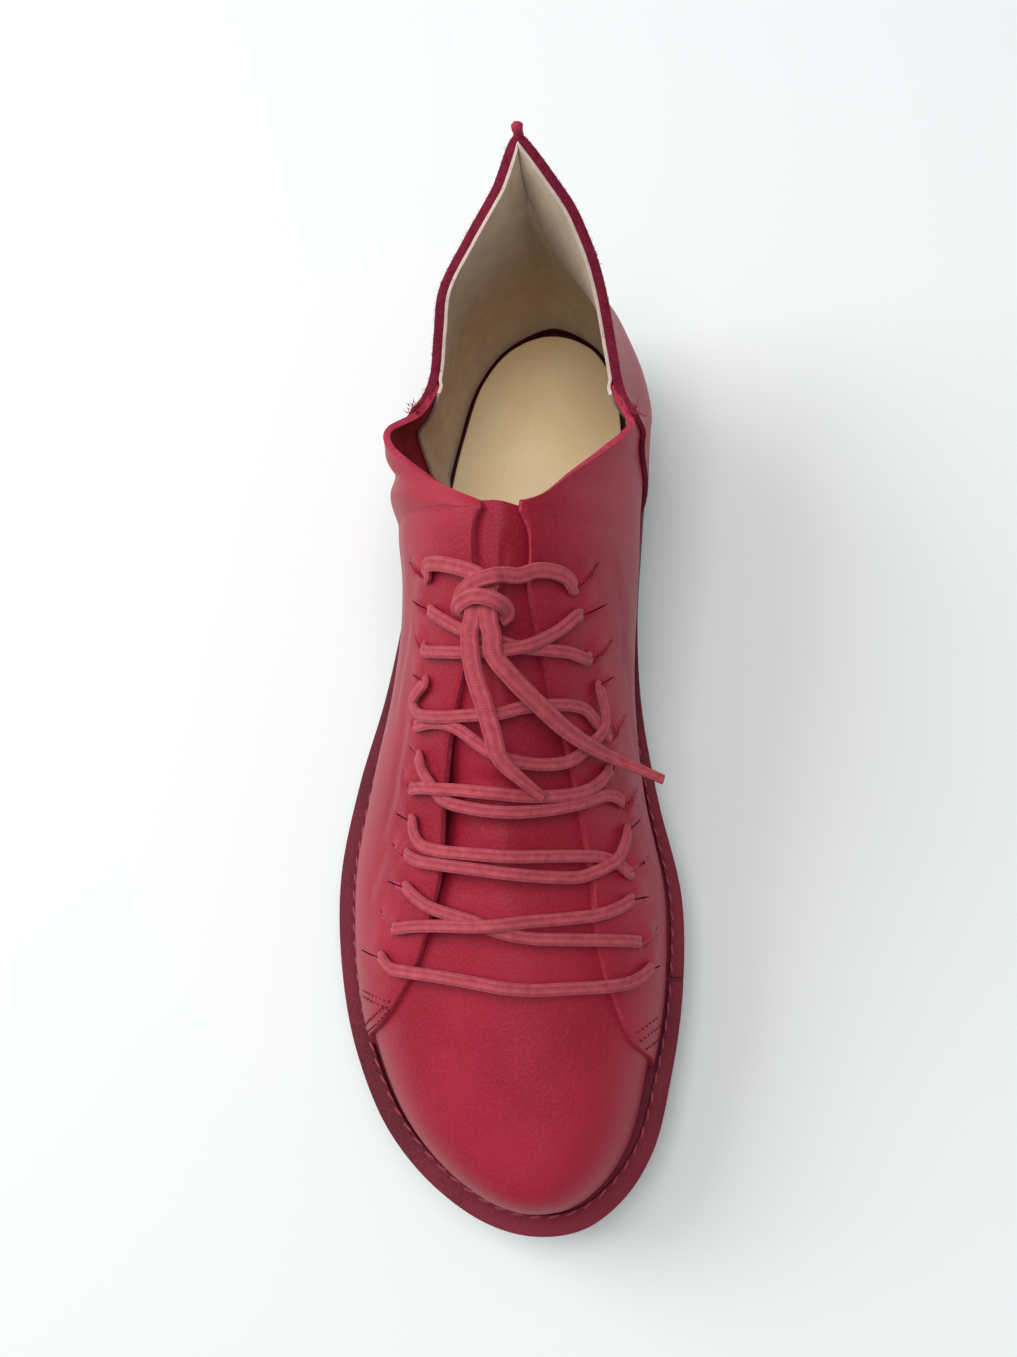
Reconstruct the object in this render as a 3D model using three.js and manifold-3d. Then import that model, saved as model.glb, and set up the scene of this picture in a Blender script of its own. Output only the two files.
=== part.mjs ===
import * as THREE from 'three';
import { mergeVertices } from 'three/addons/utils/BufferGeometryUtils.js';
import Module from 'manifold-3d';

// A lace-up ankle shoe of soft leather for the right foot, stitched down on a flat wedge sole.
// Millimetres, +Z up. The toe points to -Y, the outer side of the foot is -X, the floor is Z = 0.
const wasm = await Module();
wasm.setup();

// Sole sizes
const soleLength = 266;
const ballWidth = 97;
const outsoleThick = 8; // rubber under the ball of the foot
const heelLift = 8; // more rubber under the heel than under the ball
const toeSpring = 5;
const archLift = 3;
const heelBevel = 1.5;
const midsoleThick = 3.4;
const insoleThick = 3.5;
const treadDepth = 1.6;
const treadWidth = 2.6;
const treadPitch = 11;
const sideStep = 0.9; // depth of the groove round the outsole's side

// Upper sizes
const upperRise = 85; // top of the turned-out edge to the tip of the heel
const leather = 1.8;
const counterStep = 1.5; // how far the back part stands out over the quarters
const liningThick = 2.1; // how far it reaches in
const flangeThick = 2; // turned-out edge that is stitched to the midsole
const weltThick = 1.7;
const weltInset = 6; // full width of the edge that shows round the toe
const weltJoint = 0.6;
const tongueTuck = 8; // how far the tongue reaches in under each quarter
const seamLap = 9; // how far each quarter reaches in under the back part
const slitWidth = 0.9;

// Lace sizes
const laceWidth = 3.8;
const laceThick = 2;
const laceEndWidth = 5;
const laceLift = 0.5; // underside of a strand above the quarters
const knotLength = 15;
const knotWidth = 11;
const knotThick = 4.6;

const pieceGap = 0.3; // between curved pieces that meet
const insoleGap = 0.6;
const smallestDetail = 0.015; // slivers thinner than this are smoothed away

// A table's rows as objects with named columns.
function table(columns, rows) {
  const names = columns.split(' ');
  return rows.map((row) => Object.fromEntries(names.map((name, i) => [name, row[i]])));
}

// Along runs from 0 at the toe to 1 at the heel, on both sides. Back is a share of soleLength,
// lateral and medial are shares of ballWidth.
const soleShape = table('along back lateral medial', [
  [0.0, 0.0, 0.127, 0.127],
  [0.05, 0.009, -0.007, 0.256],
  [0.1, 0.036, -0.146, 0.354],
  [0.16, 0.083, -0.286, 0.434],
  [0.23, 0.154, -0.399, 0.477],
  [0.31, 0.241, -0.471, 0.501],
  [0.39, 0.335, -0.5, 0.488],
  [0.47, 0.432, -0.471, 0.413],
  [0.55, 0.53, -0.412, 0.354],
  [0.63, 0.628, -0.373, 0.329],
  [0.72, 0.733, -0.342, 0.331],
  [0.8, 0.831, -0.311, 0.333],
  [0.87, 0.914, -0.26, 0.297],
  [0.94, 0.974, -0.141, 0.189],
  [1.0, 1.0, 0.024, 0.024],
]);

// Width of the stitched edge outside the upper, and of the strip on it, as shares of weltInset.
const weltShape = table('along lateral medial lateralStrip medialStrip', [
  [0.0, 0.82, 0.82, 0.86, 0.86],
  [0.1, 0.87, 0.82, 0.88, 0.86],
  [0.23, 0.93, 0.83, 0.84, 0.72],
  [0.39, 1.0, 0.8, 0.8, 0.6],
  [0.55, 0.87, 0.67, 0.67, 0.47],
  [0.72, 0.63, 0.6, 0.42, 0.38],
  [0.87, 0.72, 0.72, 0.3, 0.3],
  [1.0, 0.77, 0.77, 0.32, 0.32],
]);

// The line over the toes and instep, up to the throat. Across is a share of ballWidth.
const ridgeShape = table('along across back rise', [
  [0.0, 0.116, 0.094, 0.378],
  [0.1, 0.106, 0.113, 0.406],
  [0.2, 0.086, 0.158, 0.468],
  [0.31, 0.055, 0.229, 0.535],
  [0.39, 0.034, 0.297, 0.594],
  [0.47, 0.024, 0.38, 0.681],
  [0.55, 0.013, 0.47, 0.782],
  [0.63, 0.013, 0.564, 0.881],
  [0.68, 0.013, 0.628, 0.942],
]);

// The collar from the throat, down to the ankle and up to the pointed heel.
const collarShape = table('along lateral lateralBack lateralRise medial medialBack medialRise', [
  [0.68, 0.013, 0.628, 0.942, 0.013, 0.628, 0.942],
  [0.71, -0.115, 0.654, 0.864, 0.106, 0.645, 0.89],
  [0.74, -0.239, 0.686, 0.774, 0.176, 0.679, 0.799],
  [0.77, -0.325, 0.718, 0.698, 0.245, 0.712, 0.714],
  [0.8, -0.339, 0.746, 0.642, 0.298, 0.74, 0.651],
  [0.83, -0.27, 0.774, 0.591, 0.314, 0.763, 0.6],
  [0.86, -0.234, 0.808, 0.588, 0.271, 0.797, 0.582],
  [0.89, -0.218, 0.846, 0.659, 0.245, 0.834, 0.633],
  [0.92, -0.201, 0.879, 0.732, 0.215, 0.877, 0.729],
  [0.95, -0.135, 0.913, 0.821, 0.176, 0.912, 0.82],
  [0.975, -0.067, 0.947, 0.906, 0.119, 0.946, 0.907],
  [1.0, 0.003, 0.983, 1.0, 0.003, 0.983, 1.0],
]);

// How each section leaves the sole (rise up, lean out) and comes in to its top (drop, crown).
const sectionShape = table('along rise leanLateral leanMedial dropLateral crownLateral dropMedial crownMedial', [
  [0.0, 0.282, 0.021, 0.021, 0.024, 0.165, 0.024, 0.165],
  [0.1, 0.294, 0.021, 0.021, 0.024, 0.175, 0.024, 0.175],
  [0.2, 0.318, 0.015, 0.021, 0.035, 0.227, 0.035, 0.206],
  [0.31, 0.329, 0.012, 0.021, 0.047, 0.258, 0.047, 0.227],
  [0.39, 0.329, 0.01, 0.031, 0.047, 0.247, 0.047, 0.216],
  [0.47, 0.329, 0.01, 0.052, 0.059, 0.247, 0.059, 0.216],
  [0.55, 0.353, 0.01, 0.093, 0.071, 0.268, 0.071, 0.216],
  [0.63, 0.376, 0.01, 0.134, 0.082, 0.289, 0.082, 0.216],
  [0.68, 0.376, 0.031, 0.134, 0.094, 0.32, 0.094, 0.206],
  [0.71, 0.365, 0.052, 0.113, 0.141, 0.268, 0.153, 0.155],
  [0.74, 0.353, 0.052, 0.103, 0.188, 0.124, 0.188, 0.113],
  [0.77, 0.329, 0.041, 0.082, 0.2, 0.041, 0.2, 0.072],
  [0.8, 0.318, 0.031, 0.072, 0.2, 0.01, 0.2, 0.041],
  [0.83, 0.306, 0.041, 0.072, 0.2, 0.036, 0.2, 0.036],
  [0.86, 0.294, 0.041, 0.072, 0.212, 0.041, 0.212, 0.041],
  [0.89, 0.294, 0.052, 0.062, 0.235, 0.026, 0.247, 0.036],
  [0.92, 0.306, 0.052, 0.062, 0.282, -0.01, 0.282, 0.01],
  [0.95, 0.318, 0.062, 0.072, 0.341, -0.041, 0.341, -0.031],
  [1.0, 0.318, 0.093, 0.093, 0.424, -0.082, 0.424, -0.082],
]);

// Front edges of the two quarters, seen from above, from the wing tips to the throat.
const facing = table('back lateral medial', [
  [0.173, -0.347, 0.428],
  [0.184, -0.3, 0.391],
  [0.203, -0.251, 0.356],
  [0.226, -0.21, 0.328],
  [0.244, -0.184, 0.306],
  [0.286, -0.151, 0.276],
  [0.327, -0.128, 0.262],
  [0.383, -0.127, 0.231],
  [0.44, -0.113, 0.192],
  [0.496, -0.074, 0.139],
  [0.56, -0.05, 0.095],
  [0.628, -0.034, 0.07],
]);

// Edge of the back part, from the collar down to the sole. Rise is a share of upperRise.
const counterEdge = table('back rise', [
  [0.772, 0.8],
  [0.77, 0.59],
  [0.752, 0.38],
  [0.738, 0.18],
  [0.732, -0.1],
]);

// Lace slits. Around is the share of the way from the ridge down to the sole, and it is
// negative on the lateral side.
const slits = table('along around alongEnd aroundEnd', [
  [0.327, -0.694, 0.327, -0.499],
  [0.369, -0.514, 0.354, -0.42],
  [0.394, -0.471, 0.393, -0.364],
  [0.425, -0.461, 0.417, -0.372],
  [0.449, -0.449, 0.446, -0.366],
  [0.484, -0.428, 0.47, -0.365],
  [0.504, -0.393, 0.495, -0.33],
  [0.53, -0.388, 0.518, -0.352],
  [0.56, -0.38, 0.556, -0.297],
  [0.597, -0.395, 0.58, -0.3],
  [0.616, -0.408, 0.61, -0.267],
  [0.645, -0.415, 0.634, -0.275],
  [0.329, 0.782, 0.326, 0.665],
  [0.363, 0.752, 0.345, 0.587],
  [0.387, 0.679, 0.385, 0.55],
  [0.421, 0.73, 0.404, 0.562],
  [0.449, 0.7, 0.44, 0.584],
  [0.475, 0.72, 0.456, 0.533],
  [0.499, 0.569, 0.487, 0.497],
  [0.533, 0.646, 0.515, 0.492],
  [0.563, 0.537, 0.556, 0.415],
  [0.593, 0.512, 0.576, 0.372],
  [0.62, 0.459, 0.61, 0.313],
  [0.652, 0.405, 0.628, 0.283],
]);

// Lace strands from the lateral slit to the medial one, as points along and around the upper.
const strands = {
  bar1: [
    [0.329, -0.473], [0.322, -0.428], [0.322, -0.348], [0.322, -0.228], [0.317, -0.096], [0.308, 0],
    [0.308, 0.103], [0.311, 0.244], [0.313, 0.403], [0.316, 0.513], [0.322, 0.596], [0.328, 0.644],
  ],
  over2: [
    [0.358, -0.396], [0.364, -0.306], [0.369, -0.189], [0.372, -0.084], [0.374, 0.008],
    [0.375, 0.113], [0.375, 0.26], [0.376, 0.38], [0.38, 0.472], [0.385, 0.53],
  ],
  under2: [
    [0.394, -0.342], [0.388, -0.298], [0.383, -0.241], [0.38, -0.17], [0.376, -0.084],
    [0.367, 0], [0.36, 0.11], [0.357, 0.254], [0.354, 0.418], [0.351, 0.559],
  ],
  over3: [
    [0.447, -0.331], [0.437, -0.318], [0.43, -0.28], [0.429, -0.21], [0.432, -0.08],
    [0.431, 0.048], [0.423, 0.271], [0.419, 0.405], [0.412, 0.487], [0.405, 0.535],
  ],
  under3: [
    [0.419, -0.34], [0.417, -0.29], [0.418, -0.22], [0.42, -0.08], [0.417, 0.048], [0.409, 0.192],
    [0.406, 0.307], [0.41, 0.392], [0.417, 0.465], [0.428, 0.525], [0.438, 0.551],
  ],
  over4: [
    [0.472, -0.338], [0.475, -0.28], [0.479, -0.152], [0.483, -0.008], [0.477, 0.12],
    [0.474, 0.275], [0.476, 0.363], [0.482, 0.428], [0.489, 0.468],
  ],
  under4: [
    [0.497, -0.307], [0.488, -0.291], [0.48, -0.253], [0.47, -0.192], [0.468, -0.079],
    [0.467, 0.048], [0.464, 0.195], [0.465, 0.317], [0.469, 0.462], [0.463, 0.53],
  ],
  over5: [
    [0.556, -0.266], [0.548, -0.306], [0.538, -0.344], [0.531, -0.314], [0.531, -0.221],
    [0.538, -0.068], [0.542, 0.019], [0.545, 0.095], [0.545, 0.197], [0.543, 0.286],
    [0.538, 0.349], [0.526, 0.408], [0.516, 0.462],
  ],
  under5: [
    [0.52, -0.32], [0.525, -0.241], [0.527, -0.165], [0.524, -0.106], [0.518, -0.054],
    [0.513, 0], [0.506, 0.068], [0.5, 0.178], [0.5, 0.278], [0.507, 0.349], [0.52, 0.418],
    [0.535, 0.44], [0.555, 0.415],
  ],
  over6: [
    [0.58, -0.273], [0.581, -0.179], [0.583, -0.093], [0.587, 0], [0.59, 0.083],
    [0.595, 0.159], [0.601, 0.224], [0.611, 0.289],
  ],
  under6: [
    [0.609, -0.231], [0.603, -0.158], [0.599, -0.101], [0.595, -0.01], [0.59, 0.067],
    [0.587, 0.172], [0.584, 0.268], [0.578, 0.348],
  ],
  knotLateral: [[0.634, -0.26], [0.641, -0.239], [0.642, -0.173], [0.641, -0.099], [0.636, -0.057]],
  knotMedial: [[0.631, 0.265], [0.64, 0.239], [0.643, 0.162], [0.639, 0.094], [0.635, 0.03]],
};

// The two free ends lie over the strands: along, around, height of the middle over the quarters.
const endA = [
  [0.607, -0.052, 4.4], [0.599, -0.059, 4.3], [0.572, -0.049, 4.2], [0.55, -0.022, 4.2],
  [0.53, 0, 4.2], [0.511, 0.021, 4.2], [0.493, 0.079, 4.2], [0.477, 0.15, 4.2],
];
const endB = [
  [0.607, -0.012, 4.4], [0.599, -0.002, 4.3], [0.586, 0.003, 4.2], [0.567, 0.063, 4.2],
  [0.547, 0.14, 4.2], [0.528, 0.226, 4.2], [0.511, 0.331, 4.2], [0.497, 0.453, 4.9],
  [0.488, 0.509, 8.8], [0.479, 0.558, 12.4],
];
const knotPlace = { along: 0.627, around: -0.03 };

const across = (share) => share * ballWidth;
const back = (share) => (share - 0.5) * soleLength;
const clamp = (x) => Math.min(Math.max(x, 0), 1);
const smooth = (x) => clamp(x) ** 2 * (3 - 2 * clamp(x));

// Heights of the sole's layers as functions of the place along the shoe.
const springShare = 0.205; // the toe lifts off in front of this
const wedge = [0.353, 0.767]; // the rubber thickens between these
const arch = [0.44, 0.7];
const bevelShare = 0.945;
const shareAt = (y) => y / soleLength + 0.5;
const springAt = (y) => toeSpring * clamp(1 - shareAt(y) / springShare) ** 2;
const wedgeAt = (y) => heelLift * smooth((shareAt(y) - wedge[0]) / (wedge[1] - wedge[0]));
const archAt = (y) => archLift * Math.sin(Math.PI * clamp((shareAt(y) - arch[0]) / (arch[1] - arch[0]))) ** 2;
const bevelAt = (y) => heelBevel * clamp((shareAt(y) - bevelShare) / (1 - bevelShare)) ** 2;
const groundAt = (y) => springAt(y) + archAt(y) + bevelAt(y);
const outsoleTop = (y) => outsoleThick + springAt(y) + wedgeAt(y);
const midsoleTop = (y) => outsoleTop(y) + pieceGap + midsoleThick;
const seatAt = (y) => midsoleTop(y) + pieceGap + flangeThick;

// A smooth curve through rows of values.
function spline(knots, values, t) {
  const last = knots.length - 1;
  let k = 0;
  while (k < last - 1 && t >= knots[k + 1]) k += 1;
  const gradient = (i, c) => (values[i + 1][c] - values[i][c]) / (knots[i + 1] - knots[i]);
  const slope = (i, c) => {
    if (i === 0) return gradient(0, c);
    if (i === last) return gradient(last - 1, c);
    const before = knots[i] - knots[i - 1];
    const after = knots[i + 1] - knots[i];
    return (gradient(i - 1, c) * after + gradient(i, c) * before) / (before + after);
  };
  const h = knots[k + 1] - knots[k];
  const s = (t - knots[k]) / h;
  return values[k].map((start, c) => {
    const end = values[k + 1][c];
    const ease = s * s * (3 - 2 * s);
    const lead = s * (1 - s) ** 2 * h * slope(k, c);
    const trail = s * s * (1 - s) * h * slope(k + 1, c);
    return start + (end - start) * ease + lead - trail;
  });
}

// A closed curve round the shoe: t runs 0 to 1 down the lateral side to the heel and on to 2
// up the medial side to the toe.
function roundCurve(rows, lateral, medial) {
  const there = rows.map((row) => [row.along, lateral(row)]);
  const home = rows.slice(1, -1).reverse().map((row) => [2 - row.along, medial(row)]);
  const once = [...there, ...home];
  const before = once.slice(-3).map(([t, value]) => [t - 2, value]);
  const after = once.slice(0, 3).map(([t, value]) => [t + 2, value]);
  const all = [...before, ...once, ...after];
  const knots = all.map(([t]) => t);
  const values = all.map(([, value]) => value);
  return (t) => spline(knots, values, ((t % 2) + 2) % 2);
}

const outlineCurve = roundCurve(
  soleShape,
  (row) => [across(row.lateral), back(row.back)],
  (row) => [across(row.medial), back(row.back)],
);
const weltCurve = roundCurve(
  weltShape,
  (row) => [row.lateral * weltInset, row.lateralStrip * weltInset],
  (row) => [row.medial * weltInset, row.medialStrip * weltInset],
);
const sectionCurve = roundCurve(
  sectionShape,
  (row) => [row.rise, row.leanLateral, row.dropLateral, row.crownLateral],
  (row) => [row.rise, row.leanMedial, row.dropMedial, row.crownMedial],
);

const throatAlong = 0.68;
const ridgeKnots = [...ridgeShape.slice(1, 3).reverse().map((row) => -row.along), ...ridgeShape.map((row) => row.along)];
const ridgeRows = [...ridgeShape.slice(1, 3).reverse(), ...ridgeShape];
const ridgeValues = ridgeRows.map((row) => [row.across, row.back, row.rise]);
const collarMedial = collarShape.slice(0, -1).reverse();
const collarKnots = [...collarShape.map((row) => row.along), ...collarMedial.map((row) => 2 - row.along)];
const collarValues = [
  ...collarShape.map((row) => [row.lateral, row.lateralBack, row.lateralRise]),
  ...collarMedial.map((row) => [row.medial, row.medialBack, row.medialRise]),
];

// Highest point of the section at t: on the ridge in front of the throat, then on the collar.
function topPoint(t) {
  const along = t > 1 ? 2 - t : t;
  const value = along > throatAlong ? spline(collarKnots, collarValues, t) : spline(ridgeKnots, ridgeValues, along);
  const y = back(value[1]);
  return new THREE.Vector3(across(value[0]), y, seatAt(y) + value[2] * upperRise);
}

// Outward direction of the sole's outline at t.
function outlineNormal(t) {
  const step = 1e-4;
  const [x0, y0] = outlineCurve(t - step);
  const [x1, y1] = outlineCurve(t + step);
  return new THREE.Vector3(y0 - y1, x1 - x0, 0).normalize();
}

// A point of the outline, moved in by inset, at the height that the function gives.
function outlinePoint(t, inset, height) {
  const [x, y] = outlineCurve(t);
  const point = new THREE.Vector3(x, y, 0).addScaledVector(outlineNormal(t), -inset);
  point.z = height(point.y);
  return point;
}

const footPoint = (t) => outlinePoint(t, weltCurve(t)[0], seatAt);

// A point of the last: v runs from 0 at the sole to 1 at the ridge or collar.
function lastPoint(t, v) {
  const foot = footPoint(t);
  const top = topPoint(((t % 2) + 2) % 2);
  const [rise, lean, drop, crown] = sectionCurve(t);
  const normal = outlineNormal(t);
  const low = foot.clone().addScaledVector(normal, across(lean));
  low.z += rise * upperRise;
  const high = top.clone().addScaledVector(normal, across(crown));
  high.z -= drop * upperRise;
  const w = 1 - v;
  return new THREE.Vector3()
    .addScaledVector(foot, w ** 3)
    .addScaledVector(low, 3 * w * w * v)
    .addScaledVector(high, 3 * w * v * v)
    .addScaledVector(top, v ** 3);
}

function lastNormal(t, v) {
  const step = 1e-3;
  const low = Math.min(Math.max(v, step), 0.98);
  const alongShoe = lastPoint(t + step, low).sub(lastPoint(t - step, low));
  const upward = lastPoint(t, low + step).sub(lastPoint(t, low - step));
  return upward.cross(alongShoe).normalize();
}

// The last's surface moved out by offset. The foot and the collar move level, and the two
// sides of the ridge move together.
function offsetPoint(t, v, offset) {
  const along = t > 1 ? 2 - t : t;
  const point = lastPoint(t, v);
  if (v === 0) return point.addScaledVector(outlineNormal(t), offset);
  const normal = lastNormal(t, v);
  if (v < 1) return point.addScaledVector(normal, offset);
  if (along <= throatAlong) return point.addScaledVector(normal.add(lastNormal(2 - t, v)).normalize(), offset);
  const level = Math.max(Math.hypot(normal.x, normal.y), 0.65);
  normal.z = 0;
  return point.addScaledVector(normal.normalize(), offset / level);
}

// The places round the shoe where sections are taken: lateral from toe to heel, then medial back.
const frontSections = 18;
const rearSections = 13;
const sections = [];
for (let i = 0; i < frontSections; i += 1) sections.push((throatAlong * i) / frontSections);
for (let i = 0; i <= rearSections; i += 1) sections.push(throatAlong + ((1 - throatAlong) * i) / rearSections);
const stations = [...sections, ...sections.slice(1, -1).reverse().map((along) => 2 - along)];
const girthRows = [0, 0.1, 0.22, 0.36, 0.5, 0.64, 0.78, 0.9, 1];

function solidFrom(geometry) {
  const bare = geometry.clone();
  for (const name of ['normal', 'uv']) bare.deleteAttribute(name);
  const merged = mergeVertices(bare, 1e-3);
  const triVerts = [];
  for (let i = 0; i < merged.index.count; i += 3) {
    const [a, b, c] = [0, 1, 2].map((k) => merged.index.getX(i + k));
    if (a !== b && b !== c && c !== a) triVerts.push(a, b, c);
  }
  const mesh = new wasm.Mesh({
    numProp: 3,
    vertProperties: merged.attributes.position.array,
    triVerts: new Uint32Array(triVerts),
  });
  return new wasm.Manifold(mesh);
}

function geometryFrom(points, faces) {
  const positions = faces.flatMap((face) => face.flatMap((k) => points[k].toArray()));
  return new THREE.BufferGeometry().setAttribute('position', new THREE.Float32BufferAttribute(positions, 3));
}

// A solid from level rings, lowest first, each with one point a station. Its two caps join the
// lateral point of each section to the medial one.
function ringSolid(rings) {
  const count = stations.length;
  const half = count / 2;
  const points = rings.flat();
  const faces = [];
  for (let row = 0; row + 1 < rings.length; row += 1) {
    for (let i = 0; i < count; i += 1) {
      const next = (i + 1) % count;
      const [a, b] = [row * count + i, row * count + next];
      const [c, d] = [a + count, b + count];
      faces.push([a, c, b], [b, c, d]);
    }
  }
  const top = (rings.length - 1) * count;
  for (let k = 0; k < half; k += 1) {
    const [left, leftNext] = [k, k + 1];
    const [right, rightNext] = [(count - k) % count, count - k - 1];
    faces.push([left, leftNext, right], [leftNext, rightNext, right]);
    faces.push([top + left, top + right, top + leftNext], [top + leftNext, top + right, top + rightNext]);
  }
  return solidFrom(geometryFrom(points, faces));
}

// The last as a solid: stem is how far its foot goes down, lift how far its mouth goes up.
function lastSolid(offset, stem, lift) {
  const rings = [stations.map((t) => offsetPoint(t, 0, offset).setZ(seatAt(footPoint(t).y) - stem))];
  for (const v of girthRows) rings.push(stations.map((t) => offsetPoint(t, v, offset)));
  if (lift > 0) {
    rings.push(
      stations.map((t) => {
        const open = Math.min(t, 2 - t) > throatAlong + 0.001;
        const point = offsetPoint(t, 1, offset);
        if (open) point.z += lift;
        return point;
      }),
    );
  }
  return ringSolid(rings);
}

// A plate of the sole: rows give how far each ring lies inside the outline, and its height.
const plate = (rows) => ringSolid(rows.map(([inset, height]) => stations.map((t) => outlinePoint(t, inset(t), height))));
const inset = (amount) => () => amount;

function box(length, width, height, place) {
  return solidFrom(new THREE.BoxGeometry(length, width, height).applyMatrix4(place));
}

const cutReach = 60; // cutters reach this far past what they cut

// An upright cutter over an outline in X and Y.
function upright(outline) {
  const shape = new THREE.Shape(outline.map(([x, y]) => new THREE.Vector2(x, y)));
  const height = upperRise + 2 * cutReach;
  const geometry = new THREE.ExtrudeGeometry(shape, { depth: height, bevelEnabled: false });
  return solidFrom(geometry.translate(0, 0, -cutReach / 2));
}

// A level cutter across the shoe over an outline in Y and Z.
function sideways(outline) {
  const shape = new THREE.Shape(outline.map(([y, z]) => new THREE.Vector2(y, z)));
  const width = ballWidth + 2 * cutReach;
  const geometry = new THREE.ExtrudeGeometry(shape, { depth: width, bevelEnabled: false });
  const turn = new THREE.Matrix4().set(0, 0, 1, -width / 2, 1, 0, 0, 0, 0, 1, 0, 0, 0, 0, 0, 1);
  return solidFrom(geometry.applyMatrix4(turn));
}

// The throat slot and everything in front of the quarters.
function openFront() {
  const lateral = facing.map((row) => [across(row.lateral), back(row.back)]);
  const medial = facing.map((row) => [across(row.medial), back(row.back)]);
  const far = ballWidth;
  const tip = back(facing[0].back) - leather;
  const mouth = back(facing.at(-1).back) + cutReach / 2;
  const outline = [[-far, tip], ...lateral, [lateral.at(-1)[0], mouth], [medial.at(-1)[0], mouth]];
  outline.push(...medial.reverse(), [far, tip], [far, -soleLength], [-far, -soleLength]);
  return upright(outline);
}

// The facing between two shares of the length, widened by reach on both sides.
function facingStrip(from, reach) {
  const rows = facing.filter((row) => row.back > from);
  const first = rows[0];
  const lateral = [[across(first.lateral) - reach, back(from)], ...rows.map((row) => [across(row.lateral) - reach, back(row.back)])];
  const medial = [[across(first.medial) + reach, back(from)], ...rows.map((row) => [across(row.medial) + reach, back(row.back)])];
  return { lateral, medial };
}

const vampEnd = 0.237; // the vamp meets the tongue here, under the second strand
const wingEnd = 0.335; // the vamp reaches back to here under the quarters

function vampZone() {
  const reach = tongueTuck + pieceGap * 2;
  const { lateral, medial } = facingStrip(vampEnd, reach);
  const wing = back(wingEnd);
  const far = ballWidth;
  const upTo = (rows) => rows.filter(([, y]) => y < wing);
  const outline = [[-far, -soleLength], [far, -soleLength], [far, wing], [upTo(medial).at(-1)[0], wing]];
  outline.push(...upTo(medial).reverse(), ...upTo(lateral), [upTo(lateral).at(-1)[0], wing], [-far, wing]);
  return upright(outline);
}

function tongueZone() {
  const { lateral, medial } = facingStrip(vampEnd + pieceGap / soleLength, tongueTuck);
  const mouth = back(facing.at(-1).back) - pieceGap;
  const outline = [...medial, [medial.at(-1)[0], mouth], [lateral.at(-1)[0], mouth], ...lateral.reverse()];
  return upright(outline);
}

function backZone(lap) {
  const seat = seatAt(back(1));
  const edge = counterEdge.map((row) => [back(row.back) - lap, seat + row.rise * upperRise]);
  const top = seat + upperRise + cutReach;
  const far = soleLength;
  return sideways([[edge[0][0], top], ...edge, [edge.at(-1)[0], -cutReach], [far, -cutReach], [far, top]]);
}

// A point over the upper: around is 0 on the ridge, -1 at the lateral foot, 1 at the medial foot.
function overUpper(along, around, lift) {
  const t = around < 0 ? along : 2 - along;
  const v = 1 - Math.abs(around);
  const normal = lastNormal(t, v);
  if (v > 0.9) {
    const other = lastNormal(2 - t, v);
    normal.lerp(other, 0.5 - Math.abs(around) * 5).normalize();
  }
  return { point: lastPoint(t, v).addScaledVector(normal, lift), normal };
}

function slitCutter(row) {
  const start = overUpper(row.along, row.around, -leather / 2);
  const end = overUpper(row.alongEnd, row.aroundEnd, -leather / 2);
  const direction = end.point.clone().sub(start.point);
  const length = direction.length();
  direction.normalize();
  const side = start.normal.clone().add(end.normal).cross(direction).normalize();
  const normal = direction.clone().cross(side);
  const middle = start.point.add(end.point).multiplyScalar(0.5);
  const place = new THREE.Matrix4().makeBasis(direction, side, normal).setPosition(middle);
  return box(length, slitWidth, leather * 3, place);
}

// The upper in one solid: vamp below, quarters over it, back part over them, and the edge that
// turns out onto the midsole.
function upper() {
  const stem = flangeThick;
  const reach = flangeThick * 3;
  const mouth = leather * 6;
  const shell = (outer, inner) => lastSolid(outer, stem, 0).subtract(lastSolid(inner, reach, mouth));
  const weld = 0.1;
  const cuts = slits.map(slitCutter).reduce((all, cut) => all.add(cut));
  const quarters = shell(0, -leather).subtract(openFront()).subtract(backZone(-seamLap)).subtract(cuts);
  const vamp = shell(weld - leather, -2 * leather).intersect(vampZone());
  const heel = shell(counterStep, -liningThick).intersect(backZone(0));
  const bottom = (y) => midsoleTop(y) + pieceGap;
  const flange = plate([[inset(0), bottom], [inset(0), seatAt]]).subtract(lastSolid(-leather * 1.5, reach, 0));
  return quarters.add(vamp).add(heel).add(flange);
}

function tongue() {
  const outer = lastSolid(-leather - pieceGap, 0, 0);
  const inner = lastSolid(-2 * leather, flangeThick, leather * 6);
  return outer.subtract(inner).intersect(tongueZone());
}

// The strip on the stitched edge, open at its joint on the medial side.
function welt() {
  const low = (y) => seatAt(y) + pieceGap;
  const high = (y) => low(y) + weltThick;
  const strip = (t) => weltCurve(t)[1];
  const outer = plate([[inset(0), low], [inset(0), high]]);
  const inner = plate([[strip, (y) => low(y) - weltThick], [strip, (y) => high(y) + weltThick]]);
  const jointShare = 0.243;
  const place = new THREE.Matrix4().makeTranslation(across(0.45), back(jointShare), seatAt(back(jointShare)));
  const clear = pieceGap * 2;
  const wall = lastSolid(clear, 0, 0).add(lastSolid(counterStep + clear, 0, 0).intersect(backZone(clear)));
  return outer.subtract(inner).subtract(wall).subtract(box(weltInset * 3, weltJoint, weltThick * 6, place));
}

function insole() {
  const low = (y) => midsoleTop(y) + pieceGap;
  const high = (y) => low(y) + insoleThick;
  const wall = (t) => {
    const along = Math.min(t, 2 - t);
    const front = 2 * leather;
    const rest = liningThick + leather / 3;
    return front + (rest - front) * smooth((along - 0.42) / 0.1);
  };
  const edge = (t) => weltCurve(t)[0] + wall(t) + insoleGap;
  return plate([[edge, low], [edge, high]]);
}

const midsole = () => {
  const low = (y) => outsoleTop(y) + pieceGap;
  return plate([[inset(0.5), low], [inset(0.2), midsoleTop]]);
};

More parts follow.
